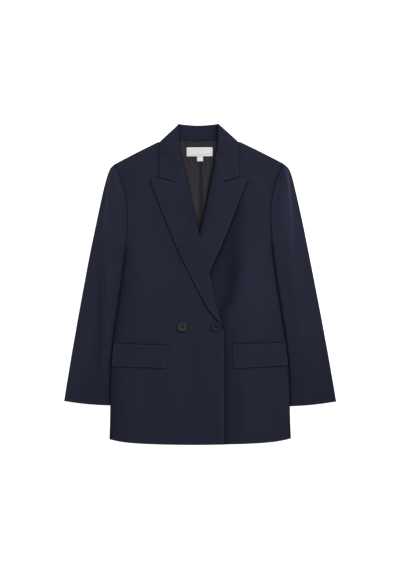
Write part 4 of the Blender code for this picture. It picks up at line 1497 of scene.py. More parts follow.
# ---- body
@dataclass
class Body:
    """The back and the two fronts."""

    lay: Lay
    rows: int = 190
    columns: int = 74
    roll_steps: int = 8
    front_cut: Pair = (292.0, 762.0)
    back_cut: Pair = (492.0, 752.0)
    armhole_allowance: float = 3.5
    pit_y: float = 117.0
    pit_reach: float = 22.0
    pit_height: float = 17.0

    def plan(self, inner_x: Array, inner_y: Array, at: Array, share: Array, inset: Array,
             top_y: Callable[[Array], Array]) -> tuple[Array, Array]:
        """Plan of a panel: straight rows, bent to the hem below and to top_y above.

        Args:
            inner_x: x of each row's inner end.
            inner_y: y of each row's inner end.
            at: Row numbers in the PANEL table, between its rows too.
            share: Share of the way across, (columns,).
            inset: How far each row stops short of the outline.
            top_y: The panel's top edge over x.

        Returns:
            x and y, (rows, columns).
        """
        last = len(PANEL) - 1
        outer_y = column(PANEL, "outer_y", at)
        outer_x = self.lay.body_side(outer_y) - inset
        x = mix(inner_x[:, None], outer_x[:, None], share)
        y = mix(inner_y[:, None], outer_y[:, None], share)
        to_hem = (self.lay.hem_y(x[0]) - y[0]) * fade(at[:, None], 0.0, 2.0)
        to_top = (top_y(x[-1]) - y[-1]) * ramp(at[:, None], last - 4.0, last)
        return x, y + to_hem + to_top

    def front(self, hand: Hand) -> Shell:
        """A front: its panel, its side rolled under, and its shoulder rolled back.

        Args:
            hand: The front's side.

        Returns:
            The front's shell.
        """
        lay = self.lay
        at = np.linspace(0.0, len(PANEL) - 1, self.rows)
        inner_y = column(PANEL, "inner_y", at)
        beside_seam = lay.side_seam + np.array([-0.008, -0.004, 0.0, 0.004, 0.008])
        share = np.concatenate([np.linspace(0.0, beside_seam[0], self.columns)[:-1], beside_seam,
                                np.linspace(beside_seam[-1], 1.0, 8)[1:]])
        x, y = self.plan(lay.front_inner_x(inner_y), inner_y, at, share,
                         np.full(self.rows, lay.edge_roll),
                         lambda place: lay.shoulder_y(place) - lay.edge_roll)
        pressed = near(x - x[:, :1], 0.45, 1.6) * fade(y, lay.break_y - 20.0, lay.break_y)
        hemmed = near(y - y[:1], 0.5, 2.0)
        seam = np.exp(-(((share - lay.side_seam) / 0.0035) ** 2)) * fade(y, -70.0, -10.0)
        points = layered(x, y, lay.front_level(x, y, hand) - pressed - hemmed - 0.2 * seam)
        roll = np.clip(column(PANEL, "roll", at), 0.0, 1.0)
        side = half_turn(points[:, -1], (1.0, 0.0), lay.edge_roll, lay.half, roll, self.roll_steps)
        points = np.concatenate([points, side.transpose(1, 0, 2)], axis=1)
        low = lay.back_level(points[-1, :, 0], points[-1, :, 1])
        shoulder = half_turn(points[-1], (0.43, 0.90), lay.edge_roll, low, 1.0, self.roll_steps)
        half = lay.front_half(points[..., 0], points[..., 1])
        fading = mix(half[-1], lay.half, np.linspace(0.3, 1.0, self.roll_steps)[:, None])
        points = np.concatenate([points, shoulder], axis=0)
        half = np.concatenate([half, fading], axis=0)
        rim = Rim(first_column=Side(1.1), last_column=SEWN, last_row=HIDDEN)
        # painted shade and highlight of the front, with painted shade along the side seam's line
        tone = lay.painted_light(points[..., 0], points[..., 1], hand)
        tone[:self.rows, :len(share)] *= 1.0 - 0.17 * seam
        return Shell(mirrored(sized(points, half, tone), hand), rim)

    def back(self) -> Shell:
        """The back, in one panel, flat on the surface apart from shallow creases.

        Along the armhole it has a seam allowance, which grows to pit_reach under the pit.

        Returns:
            The back's shell.
        """
        lay = self.lay
        last = len(PANEL) - 1
        at = np.linspace(0.0, last, self.rows - 40)
        inner_y = column(PANEL, "inner_y", at)
        inner_y = inner_y + (lay.neck_y - inner_y[-1]) * ramp(at, last - 8.0, last)
        roll = np.clip(column(PANEL, "roll", at), 0.0, 1.0)
        from_pit = (column(PANEL, "outer_y", at) - self.pit_y) / self.pit_height
        allowance = self.armhole_allowance + self.pit_reach * np.exp(-(from_pit**2))
        inset = mix(-allowance, lay.edge_roll + lay.seam, roll)
        share = np.linspace(0.0, 1.0, self.columns - 22)
        x, y = self.plan(np.zeros(len(at)), inner_y, at, share, inset, lay.back_top_y)
        x = np.concatenate([-x[:, :0:-1], x], axis=1)
        y = np.concatenate([y[:, :0:-1], y], axis=1)
        inside = ramp(lay.side.at(y) - np.abs(x), 6.0, 30.0)
        creases = relief(BACK_CREASES, x, y) * inside
        grid = layered(x, y, lay.back_level(x, y) + creases, lay.half, 1.0)
        return Shell(grid, Rim(first_column=HIDDEN, last_column=HIDDEN, last_row=HIDDEN))

    def build(self, room: Workroom) -> None:
        """Makes and places the three panels.

        Args:
            room: Where the pieces are placed.
        """
        suiting = room.wardrobe.suiting
        room.cloth("back", self.back(), suiting, "navy_suiting", Cut(*self.back_cut, ("floor",)))
        for hand in Hand:
            rests_on = ("back",) if hand is Hand.LEFT else ("back", "front_left")
            room.cloth("front_" + hand.word, self.front(hand), suiting, "navy_suiting",
                       Cut(*self.front_cut, rests_on))


# ---- lining and labels
@dataclass
class NeckLining:
    """The back lining that shows in the neck, with the bare label and size tab on it."""

    lay: Lay
    low_y: float = 104.0
    margin: float = 20.0
    label_at: Pair = (1.8, 324.7)
    label_size: Pair = (63.2, 21.6)
    tab_at: Pair = (2.8, 307.6)
    tab_size: Pair = (14.4, 11.8)
    # mm of fold relief that change the lining's painted shade and highlight by a factor of e
    painted_tone_relief: float = 3.2
    patch_air: float = 0.45
    patch_crown: float = 0.35
    lining_cut: Pair = (118.0, 256.0)

    def lining(self) -> Shell:
        """The lining, with the pleat of ease down its middle.

        Returns:
            The lining's shell.
        """
        share = np.linspace(0.0, 1.0, 150)[:, None]
        y = mix(self.low_y, self.lay.neck_y - 0.3, share)
        half_width = np.minimum(np.maximum(self.lay.roll.at(y), 4.0) + self.margin, 58.0)
        x = half_width * np.linspace(-1.0, 1.0, 90)
        y = y + (self.lay.back_top_y(x) - self.lay.neck_y) * ramp(share, 0.6, 1.0)
        return Shell(layered(x, y, self.lay.lining_level(x, y), self.lay.lining_cloth / 2, self.tone(x, y)))

    def tone(self, x: Array, y: Array) -> Array:
        """Painted shade of the lining, as a tone: darker in its folds, beside the lapels,
        under the collar and deeper down in the neck, with painted highlight on fold ridges
        and in a band beside the right lapel's roll.

        Args:
            x, y: Plan points of the garment.

        Returns:
            The tone, 1 on plain lining.
        """
        roll = self.lay.roll.at(y)
        # painted shade beside both lapel rolls, a lighter painted band just beside the right one, painted
        # shade under the collar
        left = Shade(0.50, 2.4, 0.36, 7.5).at(roll - x)
        right = Shade(1.7, 1.35, -0.40, 7.0).at(roll + x)
        collar = Shade(0.90, 3.3, -0.04, 9.0).at(self.lay.back_top_y(x) - y)
        # painted highlight on fold ridges and painted shade in fold troughs, and painted shade deeper down
        # in the neck
        folds = np.exp(relief(LINING_CREASES, x, y) / self.painted_tone_relief)
        deep = mix(0.10, 1.0, ramp(y, 118.0, 214.0))
        return np.maximum(folds * (1.0 - left) * (1.0 - right) * (1.0 - collar), 0.16) * deep

    def patch(self, at: Pair, size: Pair) -> Shell:
        """A small patch on the lining, a little crowned between its sewn ends.

        Args:
            at: Its middle, in plan.
            size: Its width and height.

        Returns:
            The patch's shell.
        """
        across = np.linspace(-0.5, 0.5, 44)[None, :]
        along = np.linspace(-0.5, 0.5, 18)[:, None]
        x = at[0] + size[0] * across
        y = at[1] + size[1] * along
        crown = self.patch_crown * np.cos(np.pi * across) ** 2
        middle = self.lay.lining_level(x, y) + (self.lay.lining_cloth + self.lay.label_cloth) / 2
        return Shell(layered(x, y, middle + self.patch_air + crown, self.lay.label_cloth / 2, 1.0),
                     Rim(WOVEN, WOVEN, WOVEN, WOVEN))

    def stitches(self) -> Mesh:
        """White stitches over the label's two ends, each a flat bead across the end.

        Returns:
            The mesh of all the stitches, in metres.
        """
        centre_x, centre_y = self.label_at
        rows = np.linspace(-0.5, 0.5, 12) * (self.label_size[1] - 2.4)
        places = np.array([(centre_x + side * (self.label_size[0] / 2 - 0.3), centre_y + row)
                           for side in (-1.0, 1.0) for row in rows])
        height = self.lay.lining_level(places[:, 0], places[:, 1]) + self.lay.label_cloth + 1.05
        return beads("label_stitches_thread", places, height, (1.5, 0.32, 0.22))

    def build(self, room: Workroom) -> None:
        """Makes and places the lining, the label, its stitches and the size tab.

        Args:
            room: Where the pieces are placed.
        """
        room.cloth("back_lining", self.lining(), room.wardrobe.lining, "charcoal_lining",
                   Cut(*self.lining_cut, ("back",)))
        for node, at, size, material in (
            ("neck_label", self.label_at, self.label_size, room.wardrobe.label),
            ("size_tab", self.tab_at, self.tab_size, room.wardrobe.tab),
        ):
            shell = self.patch(at, size)
            piece = room.cloth(node, shell, material, "label_satin", Cut(*size, ("back_lining",)))
            centre_map(piece, at)
        room.place("label_stitches_thread", self.stitches(), room.wardrobe.white_thread, "label_satin")


def centre_map(piece: Piece, at: Pair) -> None:
    """Moves a piece's cloth map so that it is 0 at the plan point at, in mm.

    Args:
        piece: The piece.
        at: The point of the garment that gets the map's middle.
    """
    layer = piece.data.uv_layers[CLOTH_MAP]
    values = np.empty(len(layer.uv) * 2, np.float32)
    layer.uv.foreach_get("vector", values)
    moved = values.reshape(-1, 2) - np.array(at, np.float32) * MM
    layer.uv.foreach_set("vector", moved.ravel())


def beads(name: str, places: Array, heights: Array, sizes: tuple[float, float, float]) -> Mesh:
    """Low beads of thread: one ellipsoid of 8 by 4 faces, repeated at each place.

    A point is place + (a cos u sin v, b sin u sin v, c cos v), with the half sizes a, b, c.

    Args:
        name: The mesh's name.
        places: (beads, 2) plan points.
        heights: (beads,) heights of their middles.
        sizes: Half sizes along x, y and z.

    Returns:
        The mesh.
    """
    around = np.linspace(0.0, 2.0 * np.pi, 8, endpoint=False)
    down = np.linspace(0.0, np.pi, 5)[1:-1][:, None]
    ring = layered(np.cos(around) * np.sin(down), np.sin(around) * np.sin(down), np.cos(down) + 0 * around)
    shape = np.concatenate([[[0.0, 0.0, 1.0]], ring.reshape(-1, 3), [[0.0, 0.0, -1.0]]]) * sizes
    step = np.arange(8)
    after = (step + 1) % 8
    last = len(shape) - 1
    faces = [np.stack([0 * step, 1 + step, 1 + after], axis=1)]
    for level in range(2):
        first = 1 + 8 * level
        faces.append(np.stack([first + step, first + 8 + step, first + 8 + after], axis=1))
        faces.append(np.stack([first + step, first + 8 + after, first + after], axis=1))
    faces.append(np.stack([last + 0 * step, 17 + after, 17 + step], axis=1))
    face = np.concatenate(faces)
    centres = np.column_stack([places, heights])
    points = (centres[:, None, :] + shape[None, :, :]).reshape(-1, 3)
    numbers = (np.arange(len(centres))[:, None, None] * len(shape) + face[None]).reshape(-1, 3)
    return fill_mesh(name, points * MM, numbers)


# ---- sleeves
@dataclass
class Sleeve:
    """A sleeve of two pieces: the upper one is folded round both edges."""

    lay: Lay
    hand: Hand
    roll: float = 4.6
    loft: float = 6.2
    crest: Curve = Curve((
        (-296.5, 7.4), (-262, 9.4), (-226, 12.4), (-180, 14.2), (72, 14.6), (133, 13.4), (198, 12.4),
        (262, 11.2), (291.6, 7),
    ))
    cuff_bow: float = 2.1
    rows: int = 170
    columns: int = 62
    roll_steps: int = 12
    upper_cut: Pair = (150.0, 592.0)
    under_cut: Pair = (134.0, 590.0)

    def ends(self) -> tuple[Array, Array, Array, Array, Array]:
        """Row numbers, then the inner and outer ends of the rows: x, y, x, y.

        Returns:
            The row numbers and the four coordinates, each (rows,).
        """
        at = np.linspace(0.0, len(SLEEVE) - 1, self.rows)
        longer = self.hand.pick(-1.7, 2.4) * ramp(at, len(SLEEVE) - 5.0, len(SLEEVE) - 1.0)
        inner_y = column(SLEEVE, "inner_y", at) - longer
        outer_y = column(SLEEVE, "outer_y", at) - longer
        sewn = self.lay.armhole.at(inner_y) + self.lay.seam
        inner_x = mix(self.lay.sleeve_fold(inner_y, self.hand), sewn, ramp(inner_y, 122.0, 134.0))
        return at, inner_x, inner_y, self.outline_x(outer_y), outer_y

    def outline_x(self, y: Array) -> Array:
        """Own-half x of the sleeve's outer fold, a little fuller on the left sleeve.

        Args:
            y: Plan y.

        Returns:
            The fold's x.
        """
        fuller, head = self.hand.pick((-0.9, 0.0), (0.5, 0.8))
        fuller = fuller * ramp(y, 60.0, 170.0) + head * ramp(y, 225.0, 262.0)
        return self.lay.outer_fold.at(y) + fuller * fade(y, 276.0, 293.0)

    def folds(self) -> tuple[Array, Array]:
        """Width of each row's folds and of the row itself.

        Returns:
            The two widths, each (rows,).
        """
        _, inner_x, _, outer_x, _ = self.ends()
        width = outer_x - inner_x
        return np.minimum(self.roll, 0.3 * width), width

    def heights(self, share: Array) -> tuple[Array, Array]:
        """Heights of the under and the upper piece.

        The under piece lies on the body up to its side and then falls to the surface.
        The upper one climbs from the front's level at its inner end to the crest, and
        falls to the height of the outer fold. At the head it rounds down to the under
        piece along a quarter circle.

        Args:
            share: (rows, columns) share of the way across.

        Returns:
            The two heights.
        """
        at, inner_x, inner_y, outer_x, _ = self.ends()
        side = mix(inner_x + 10.0, self.lay.side.at(inner_y), ramp(inner_y, 165.0, 84.0))
        beyond = ramp(side - inner_x, 5.0, 14.0)
        start = np.clip((side + mix(1.0, 5.0, beyond) - inner_x) / (outer_x - inner_x), 0.0, 0.78)[:, None]
        fall = mix(0.12, 0.30, beyond)[:, None]
        under = mix(self.lay.half, column(SLEEVE, "under", at), 1.26)
        front = self.lay.front + self.lay.shoulder_loft * self.lay.padding(inner_x, inner_y)
        top = front + column(SLEEVE, "rise", at)
        low = mix(under[:, None], self.lay.half, ramp(share, start, np.minimum(start + fall, 0.92)))
        outer = self.lay.half + self.loft * self.cuff_share(inner_y)
        high = mix(top[:, None], self.crest.at(inner_y)[:, None], ramp(share, 0.0, 0.45))
        high = mix(high, outer[:, None], ramp(share, 0.45, 1.08))
        low = np.minimum(low, high - 2.0)
        head = np.clip(at / 0.2, 0.0, 1.0)[:, None]
        return low, mix(low + 2.0, high, np.sqrt(1.0 - (1.0 - head) ** 2))

    def cuff_share(self, y: Array) -> Array:
        """1 along the sleeve and less at the cuff, where it lies flatter."""
        return mix(0.6, 1.0, ramp(y, -296.0, -225.0))

    def points(self, share: Array, layer: Layer) -> Array:
        """Points of one of the two pieces, own-half (rows, columns, 3).

        Args:
            share: (rows, columns) share of the way across.
            layer: The piece.

        Returns:
            The middle of the piece's cloth.
        """
        at, inner_x, inner_y, outer_x, outer_y = self.ends()
        last = len(SLEEVE) - 1
        bow = self.cuff_bow * ramp(at, last - 3.0, last)[:, None]
        x = mix(inner_x[:, None], outer_x[:, None], share)
        y = mix(inner_y[:, None], outer_y[:, None], share) - bow * 4.0 * share * (1.0 - share)
        low, high = self.heights(share)
        if layer is Layer.UNDER:
            return layered(x, y, low)
        inside = ramp(share, 0.0, 0.18) * fade(share, 0.82, 1.0) * ramp(at, 0.5, 3.0)[:, None]
        creases = relief(SLEEVE_CREASES[self.hand], x, y) * inside
        cuff = near(y - y[-1:], 0.5, 2.0)
        return layered(x, y, high + creases - cuff)

    def upper(self) -> Shell:
        """The upper sleeve with a fold along both edges.

        Returns:
            The piece's shell.
        """
        roll, width = self.folds()
        margin = (roll / width)[:, None]
        share = margin + np.linspace(0.0, 1.0, self.columns) * (1.0 - 2.0 * margin)
        top = self.points(share, Layer.UPPER)
        under = self.points(share, Layer.UNDER)
        curl = column(SLEEVE, "curl", np.linspace(0.0, len(SLEEVE) - 1, self.rows))
        inner = half_turn(top[:, 0], (-1.0, 0.0), roll, under[:, 0, 2], curl, self.roll_steps)
        outer = half_turn(top[:, -1], (1.0, 0.0), roll, under[:, -1, 2], 1.0, self.roll_steps)
        points = np.concatenate([inner[::-1].transpose(1, 0, 2), top, outer.transpose(1, 0, 2)], axis=1)
        return self.shell(points, Rim(first_row=HIDDEN, first_column=SEWN, last_column=HIDDEN))

    def under(self) -> Shell:
        """The under sleeve, between the folds of the upper one.

        Returns:
            The piece's shell.
        """
        roll, width = self.folds()
        _, inner_x, inner_y, _, _ = self.ends()
        curl = column(SLEEVE, "curl", np.linspace(0.0, len(SLEEVE) - 1, self.rows))
        beside = np.where(inner_y > 90.0, self.lay.armhole.at(inner_y) - inner_x + 1.2, 0.0)
        allowance = np.minimum(3.5, 0.28 * width)
        turned = np.maximum((roll + 0.3) * ramp(curl, 0.0, 0.2), beside * ramp(curl, 0.0, 0.1))
        turned = np.maximum(turned, allowance * ramp(inner_y, 84.0, 90.0))
        start = (turned / width)[:, None]
        end = 1.0 - ((roll + 0.9) / width)[:, None]
        points = self.points(mix(start, end, np.linspace(0.0, 1.0, self.columns - 26)), Layer.UNDER)
        return self.shell(points, Rim(first_row=HIDDEN, first_column=HIDDEN, last_column=HIDDEN))

    def painted_light(self, x: Array, y: Array) -> Array:
        """Painted light of a sleeve, as a tone: painted shade beside its inner fold and in troughs,
        painted highlight on ridges and along its crest, its outer half painted lighter on the
        right sleeve and darker on the left one.

        Args:
            x, y: Plan points on the own half.

        Returns:
            The tone, 1 on plain cloth.
        """
        from_fold = x - self.lay.sleeve_fold(y, self.hand)
        from_outside = x - self.outline_x(y)
        shade = self.hand.pick(Shade(0.52, 2.2, 0.20, 5.0), Shade(0.32, 1.6, 0.12, 5.0))
        turned = shade.at(from_fold) * fade(y, 70.0, 128.0)
        # painted light: the right sleeve's outer half lighter, the left one's darker; on the left sleeve
        # the upper arm's inner part lighter and the lower arm darker
        outside = ramp(from_outside, -50.0, -8.0) * self.hand.pick(0.15, -0.06)
        if self.hand is Hand.LEFT:
            turned = turned + near(x - self.lay.armhole.at(y), 0.52, 2.6) * ramp(y, 112.0, 140.0)
            outside = outside + 0.17 * fade(from_outside, -46.0, -18.0) * ramp(y, 100.0, 165.0)
            outside = outside - 0.15 * ramp(y, -90.0, -190.0)
        turned = turned + near(from_fold, 0.22, 6.0) * fade(y, -232.0, -200.0)
        # painted highlight on ridges, painted shade in troughs and beside the folds
        tone = np.exp(relief(SLEEVE_CREASES[self.hand], x, y) / PAINTED_TONE_RELIEF) * (1.0 - turned)
        return tone * (1.0 + outside + SLEEVE_PAINTED_HIGHLIGHT[self.hand].at(x, y))

    def shell(self, points: Array, rim: Rim) -> Shell:
        """A shell round own-half points, its grain along the sleeve."""
        grid = sized(points, self.lay.half, self.painted_light(points[..., 0], points[..., 1]))
        return Shell(mirrored(grid, self.hand), rim, turn=0.17 * self.hand.value)

    def build(self, room: Workroom) -> None:
        """Makes and places both pieces.

        Args:
            room: Where the pieces are placed.
        """
        word = self.hand.word
        suiting = room.wardrobe.suiting
        room.cloth("sleeve_under_" + word, self.under(), suiting, "navy_suiting",
                   Cut(*self.under_cut, ("front_" + word, "floor")))
        room.cloth("sleeve_upper_" + word, self.upper(), suiting, "navy_suiting",
                   Cut(*self.upper_cut, ("sleeve_under_" + word,), Held.FOLDED))


# ---- lapels
@dataclass
class Lapel:
    """A peak lapel, turned back from its roll line."""

    lay: Lay
    hand: Hand
    peak_y: float = 262.4
    roll_low: float = -105.0
    edge_low: float = -108.5
    # mm of relief that change the lapel's painted shade and highlight by a factor of e
    painted_tone_relief: float = 11.0
    rows: int = 120
    columns: int = 42
    roll_steps: int = 10
    cut: Pair = (124.0, 376.0)

    def shell(self) -> Shell:
        """The lapel: rows from the roll line to its outer edge, then the roll itself.

        The rows run from the gorge seam down to the break, and the upper ones sag to
        the notch along straight lines.

        Returns:
            The lapel's shell.
        """
        lay = self.lay
        share = (np.linspace(0.0, 1.0, self.rows) ** 1.05)[:, None]
        roll_y = mix(lay.gorge_top[1] - 0.1, self.roll_low, share)
        edge_y = mix(self.peak_y, self.edge_low, share)
        edge_x = lay.lapel_x(edge_y, self.hand)
        width = np.minimum(lay.lapel_roll, 0.45 * (edge_x - lay.roll.at(roll_y)))
        start_x = lay.roll.at(roll_y) + width
        kink = float((lay.notch[0] - start_x[0, 0]) / (edge_x[0, 0] - start_x[0, 0]))
        inner = int(self.columns * kink) + 2
        across = np.concatenate([np.linspace(0.0, kink, inner),
                                 np.linspace(kink, 1.0, self.columns - inner + 1)[1:]])
        x = mix(start_x, edge_x, across)
        y = mix(roll_y, edge_y, across)
        sag = mix(lay.gorge_top[1], self.peak_y, kink) - lay.notch[1]
        tent = np.where(across < kink, across / kink, (1.0 - across) / (1.0 - kink))
        y = y - sag * tent * fade(share, 0.0, 0.4)
        level = lay.turned_level(x, y, self.hand)
        pressed = 0.4 * np.exp(-(x[:, -1:] - x) / 1.8)
        pressed = pressed + 0.35 * np.exp(-(y[:1] - y) / 1.8) * (across > kink)
        points = layered(x, y, level - pressed)
        low = lay.front_level(x[:, 0], y[:, 0], self.hand)
        roll = half_turn(points[:, 0], (-1.0, 0.0), width[:, 0], low, 1.0, self.roll_steps)
        points = np.concatenate([roll[::-1].transpose(1, 0, 2), points], axis=1)
        # painted highlight on ridges and painted shade in troughs, then painted shade beside the roll line
        tone = np.exp(lay.creases(points[..., 0], points[..., 1], self.hand) / self.painted_tone_relief)
        from_roll = points[..., 0] - lay.roll.at(points[..., 1])
        shaded = self.hand.pick(Shade(0.55, 1.5), Shade(0.60, 2.2, 0.34, 11.0)).at(from_roll)
        tone = tone * np.maximum(1.0 - shaded * ramp(points[..., 1], 100.0, 130.0), 0.14)
        grid = mirrored(sized(points, lay.half, tone), self.hand)
        return Shell(grid, Rim(first_row=HIDDEN, first_column=HIDDEN), turn=-0.2 * self.hand.value)

    def build(self, room: Workroom) -> None:
        """Makes and places the lapel.

        Args:
            room: Where the pieces are placed.
        """
        word = self.hand.word
        room.cloth("lapel_" + word, self.shell(), room.wardrobe.suiting, "navy_suiting",
                   Cut(*self.cut, ("front_" + word,), Held.FOLDED))


# ---- collar
@dataclass
class CollarRows:
    """Rows across the collar on one half, from its front end to the centre back.

    Attributes:
        edge: (rows, 2) points on the roll line.
        outer: (rows, 2) points on the outer edge.
        turn: (rows,) 0 on the front, pi on the back, between in the shoulder's fold.
        kink: (rows,) how much a row sags to the notch.
    """

    edge: Array
    outer: Array
    turn: Array
    kink: Array


@dataclass
class Collar:
    """The collar: its fall, folded over at the shoulders, and the stand inside it."""

    lay: Lay
    point: Pair = (99.2, 263.9)
    bulge: float = -0.5
    fold_top: Pair = (49.0, 391.2)
    fold_low: Pair = (94.7, 349.6)
    fold_roll: float = 1.4
    sharper_fold: float = 2.2
    back_roll_y: float = 388.6
    back_roll_rise: float = 4.2
    fall_y: float = 339.0
    stand_depth: float = 24.0
    stand_leg: float = 8.0
    back_leg: float = 5.0
    front_rows: int = 44
    fold_rows: int = 13
    back_rows: int = 40
    columns: int = 30
    fall_cut: Pair = (92.0, 452.0)
    stand_cut: Pair = (38.0, 330.0)

    @property
    def outward(self) -> Array:
        """Direction out of the shoulder's fold, in plan."""
        along = unit(np.array(self.fold_low) - np.array(self.fold_top))
        return np.array([-along[1], along[0]])

    def rows(self) -> CollarRows:
        """Rows in three stretches: front, fold and back.

        In front, the roll point climbs the roll line while the outer point climbs a
        bowed outer edge. Round the fold, both move out by fold_roll * sin(turn). On the
        back, the roll line is a shallow parabola and the outer edge falls to fall_y.

        Returns:
            The rows of one half.
        """
        inset = self.outward * self.fold_roll
        top, low = np.array(self.fold_top) - inset, np.array(self.fold_low) - inset
        share = np.linspace(0.0, 1.0, self.front_rows)[:-1]
        edge_y = mix(self.lay.gorge_top[1] + 0.1, top[1], share)
        limit = mix(self.lay.gorge_top[0] + 8.0, top[0], share)
        front_edge = layered(np.minimum(self.lay.roll.at(edge_y), limit), edge_y)
        front_outer = mix(np.array(self.point), low, share[:, None])
        front_outer[:, 0] += self.bulge * 4.0 * share * (1.0 - share)
        turn = np.linspace(0.0, np.pi, self.fold_rows)
        reach = inset * np.sin(turn)[:, None]
        corner_rise = self.back_roll_y + self.back_roll_rise - top[1]
        corner = layered(0.0, corner_rise * ramp(turn, np.pi / 2, np.pi))
        back = np.linspace(0.0, 1.0, self.back_rows)[1:]
        back_x = top[0] * (1.0 - back)
        back_edge = layered(back_x, self.back_roll_y + self.back_roll_rise * (back_x / top[0]) ** 2)
        outer_y = self.fall_y + (low[1] - self.fall_y) * (1.0 - back) ** 2
        back_outer = layered(low[0] * (1.0 - back), outer_y)
        return CollarRows(
            edge=np.concatenate([front_edge, top + reach + corner, back_edge]),
            outer=np.concatenate([front_outer, low + reach, back_outer]),
            turn=np.concatenate([0.0 * share, turn, np.full(len(back), np.pi)]),
            kink=np.concatenate([1.0 - ramp(share, 0.0, 0.5), 0.0 * turn, 0.0 * back]),
        )

    def side(self, turn: Array) -> Array:
        """Direction out of the collar's right side, (rows, 3)."""
        return np.column_stack([self.outward * np.sin(turn)[:, None], np.cos(turn)])

    def leg(self, turn: Array) -> Array:
        """Height of the roll between fall and stand, taller on the back."""
        return mix(self.lay.leg, self.back_leg, ramp(turn, 2.2, np.pi))

    def on_fall(self, plan: Array, turn: Array) -> Array:
        """Plan points (rows, columns, 2) with their height on the fall.

        Args:
            plan: The points.
            turn: Each row's turn.

        Returns:
            The points, (rows, columns, 3).
        """
        front = self.lay.turned_level(plan[..., 0], plan[..., 1], Hand.LEFT)
        height = mix(front, self.lay.half, ((1.0 - np.cos(turn)) / 2)[:, None])
        return np.concatenate([plan, height[..., None]], axis=-1)

    def fall(self) -> Shell:
        """The fall: each row runs round the roll and down to the outer edge.

        Returns:
            The fall's shell.
        """
        rows = self.rows()
        down = unit(mix(unit(rows.outer - rows.edge), np.array([1.0, 0.0]), rows.kink[:, None]))
        roll = self.lay.lapel_roll
        start = rows.edge + down * roll
        notch = (self.lay.notch[0] - start[:, 0]) / np.maximum(rows.outer[:, 0] - start[:, 0], 1.0)
        notch = mix(0.35, np.clip(notch, 0.1, 0.6), ramp(rows.kink, 0.0, 0.1))[:, None]
        unit_share = np.linspace(0.0, 1.0, self.columns)[None, :]
        outside = notch + (unit_share - 0.4) / 0.6 * (1.0 - notch)
        across = np.where(unit_share < 0.4, unit_share / 0.4 * notch, outside)
        plan = mix(start[:, None, :], rows.outer[:, None, :], across[..., None])
        sag = mix(self.lay.gorge_top[1], self.point[1], 0.354) - self.lay.notch[1] - 0.2
        tent = np.where(across < notch, across / notch, (1.0 - across) / (1.0 - notch))
        plan[..., 1] -= sag * rows.kink[:, None] * tent
        flat = self.on_fall(plan, rows.turn)
        leg = self.leg(rows.turn)[:, None, None]
        side = self.side(rows.turn)[:, None, :]
        from_edge = np.linalg.norm(flat[:, -1:, :2] - flat[..., :2], axis=-1)
        flat = flat - side * near(from_edge, 0.35, 1.8)[..., None]
        angle = np.linspace(np.pi, 0.0, 11)[:-1][None, :, None]
        curl = flat[:, :1] - side * leg * (1.0 - np.cos(angle)) / 2
        curl[..., :2] -= down[:, None, :] * (roll * np.sin(angle))
        points = np.concatenate([curl, flat], axis=1)
        shell = self.shell(points, Rim(FREE, FREE, HIDDEN, FREE), open_from=self.lay.notch[0])
        x, y, tone = (shell.points[..., number] for number in (0, 1, 4))
        # painted shade beside the roll on the wearer's right half
        rolled = near(-x - self.lay.roll.at(y), 0.42, 1.5) * (x < 0.0)
        tone *= 1.0 - rolled * fade(y, 346.0, 366.0)
        return shell

    def stand(self) -> Shell:
        """The stand, on the fall's wrong side, from the roll to the neck seam.

        Returns:
            The stand's shell.
        """
        rows = self.rows()
        keep = np.arange(len(rows.turn)) > 3
        edge, outer, turn = rows.edge[keep], rows.outer[keep], rows.turn[keep]
        down = unit(outer - edge)
        start = edge + down * (self.lay.lapel_roll + mix(1.2, 0.25, ramp(turn, 3.0, np.pi))[:, None])
        front = np.linspace(0.0, 1.0, self.front_rows)[:-1][3 + 1:]
        depth = np.full(len(turn), self.stand_depth)
        depth[:len(front)] = mix(self.stand_leg, self.stand_depth, front)
        low = start + down * depth[:, None]
        back = slice(len(turn) - (self.back_rows - 1), None)
        low_x = edge[back, 0] * 1.27
        low[back] = layered(low_x, self.lay.back_top_y(low_x) - 0.7)
        plan = mix(start[:, None, :], low[:, None, :], np.linspace(0.0, 1.0, 14)[None, :, None])
        across = np.linspace(0.0, 1.0, plan.shape[1])[None, :]
        leg = mix(self.leg(turn)[:, None], self.lay.leg, across**0.8) + 0.15
        points = self.on_fall(plan, turn) - self.side(turn)[:, None, :] * leg[..., None]
        # painted shade on the stand: darker overall and more so towards the neck seam
        shell = self.shell(points, Rim(HIDDEN, HIDDEN, HIDDEN, SEWN), mix(0.92, 0.80, across))
        x, y, tone = (shell.points[..., number] for number in (0, 1, 4))
        # painted shade beside both ends of the shoulder fold, wider on the left
        corner = near(self.fold_top[0] - 0.9 - np.abs(x), 0.50, 1.9)
        corner = corner + near(self.fold_top[0] - x, 0.17, 14.0) * (x > 0.0)
        tone *= 1.0 - corner * ramp(y, 345.0, 358.0)
        return shell

    def shell(self, half: Array, rim: Rim, tone: Any = 1.0, open_from: float = 0.0) -> Shell:
        """Both halves of the collar from the rows of one, which end in the middle.

        On the right side the fold at the neck is pressed sharper: x moves out by
        sharper_fold * exp(-((x + 47.6) / 3)^2), on the back only.

        Args:
            half: (rows, columns, 3) from the right front end to the centre back.
            rim: Finish of its edges.
            tone: Its painted shade, as a tone.
            open_from: How far out its first row is a free edge.

        Returns:
            The piece's shell.
        """
        grid = sized(half, self.lay.half, tone)
        grid = np.concatenate([grid, grid[-2::-1] * (-1.0, 1.0, 1.0, 1.0, 1.0)])
        x, y = grid[..., 0], grid[..., 1]
        x -= self.sharper_fold * np.exp(-(((x + 47.6) / 3.0) ** 2)) * ramp(y, 338.0, 356.0)
        return Shell(grid, rim, turn=np.pi / 2, open_from=open_from)

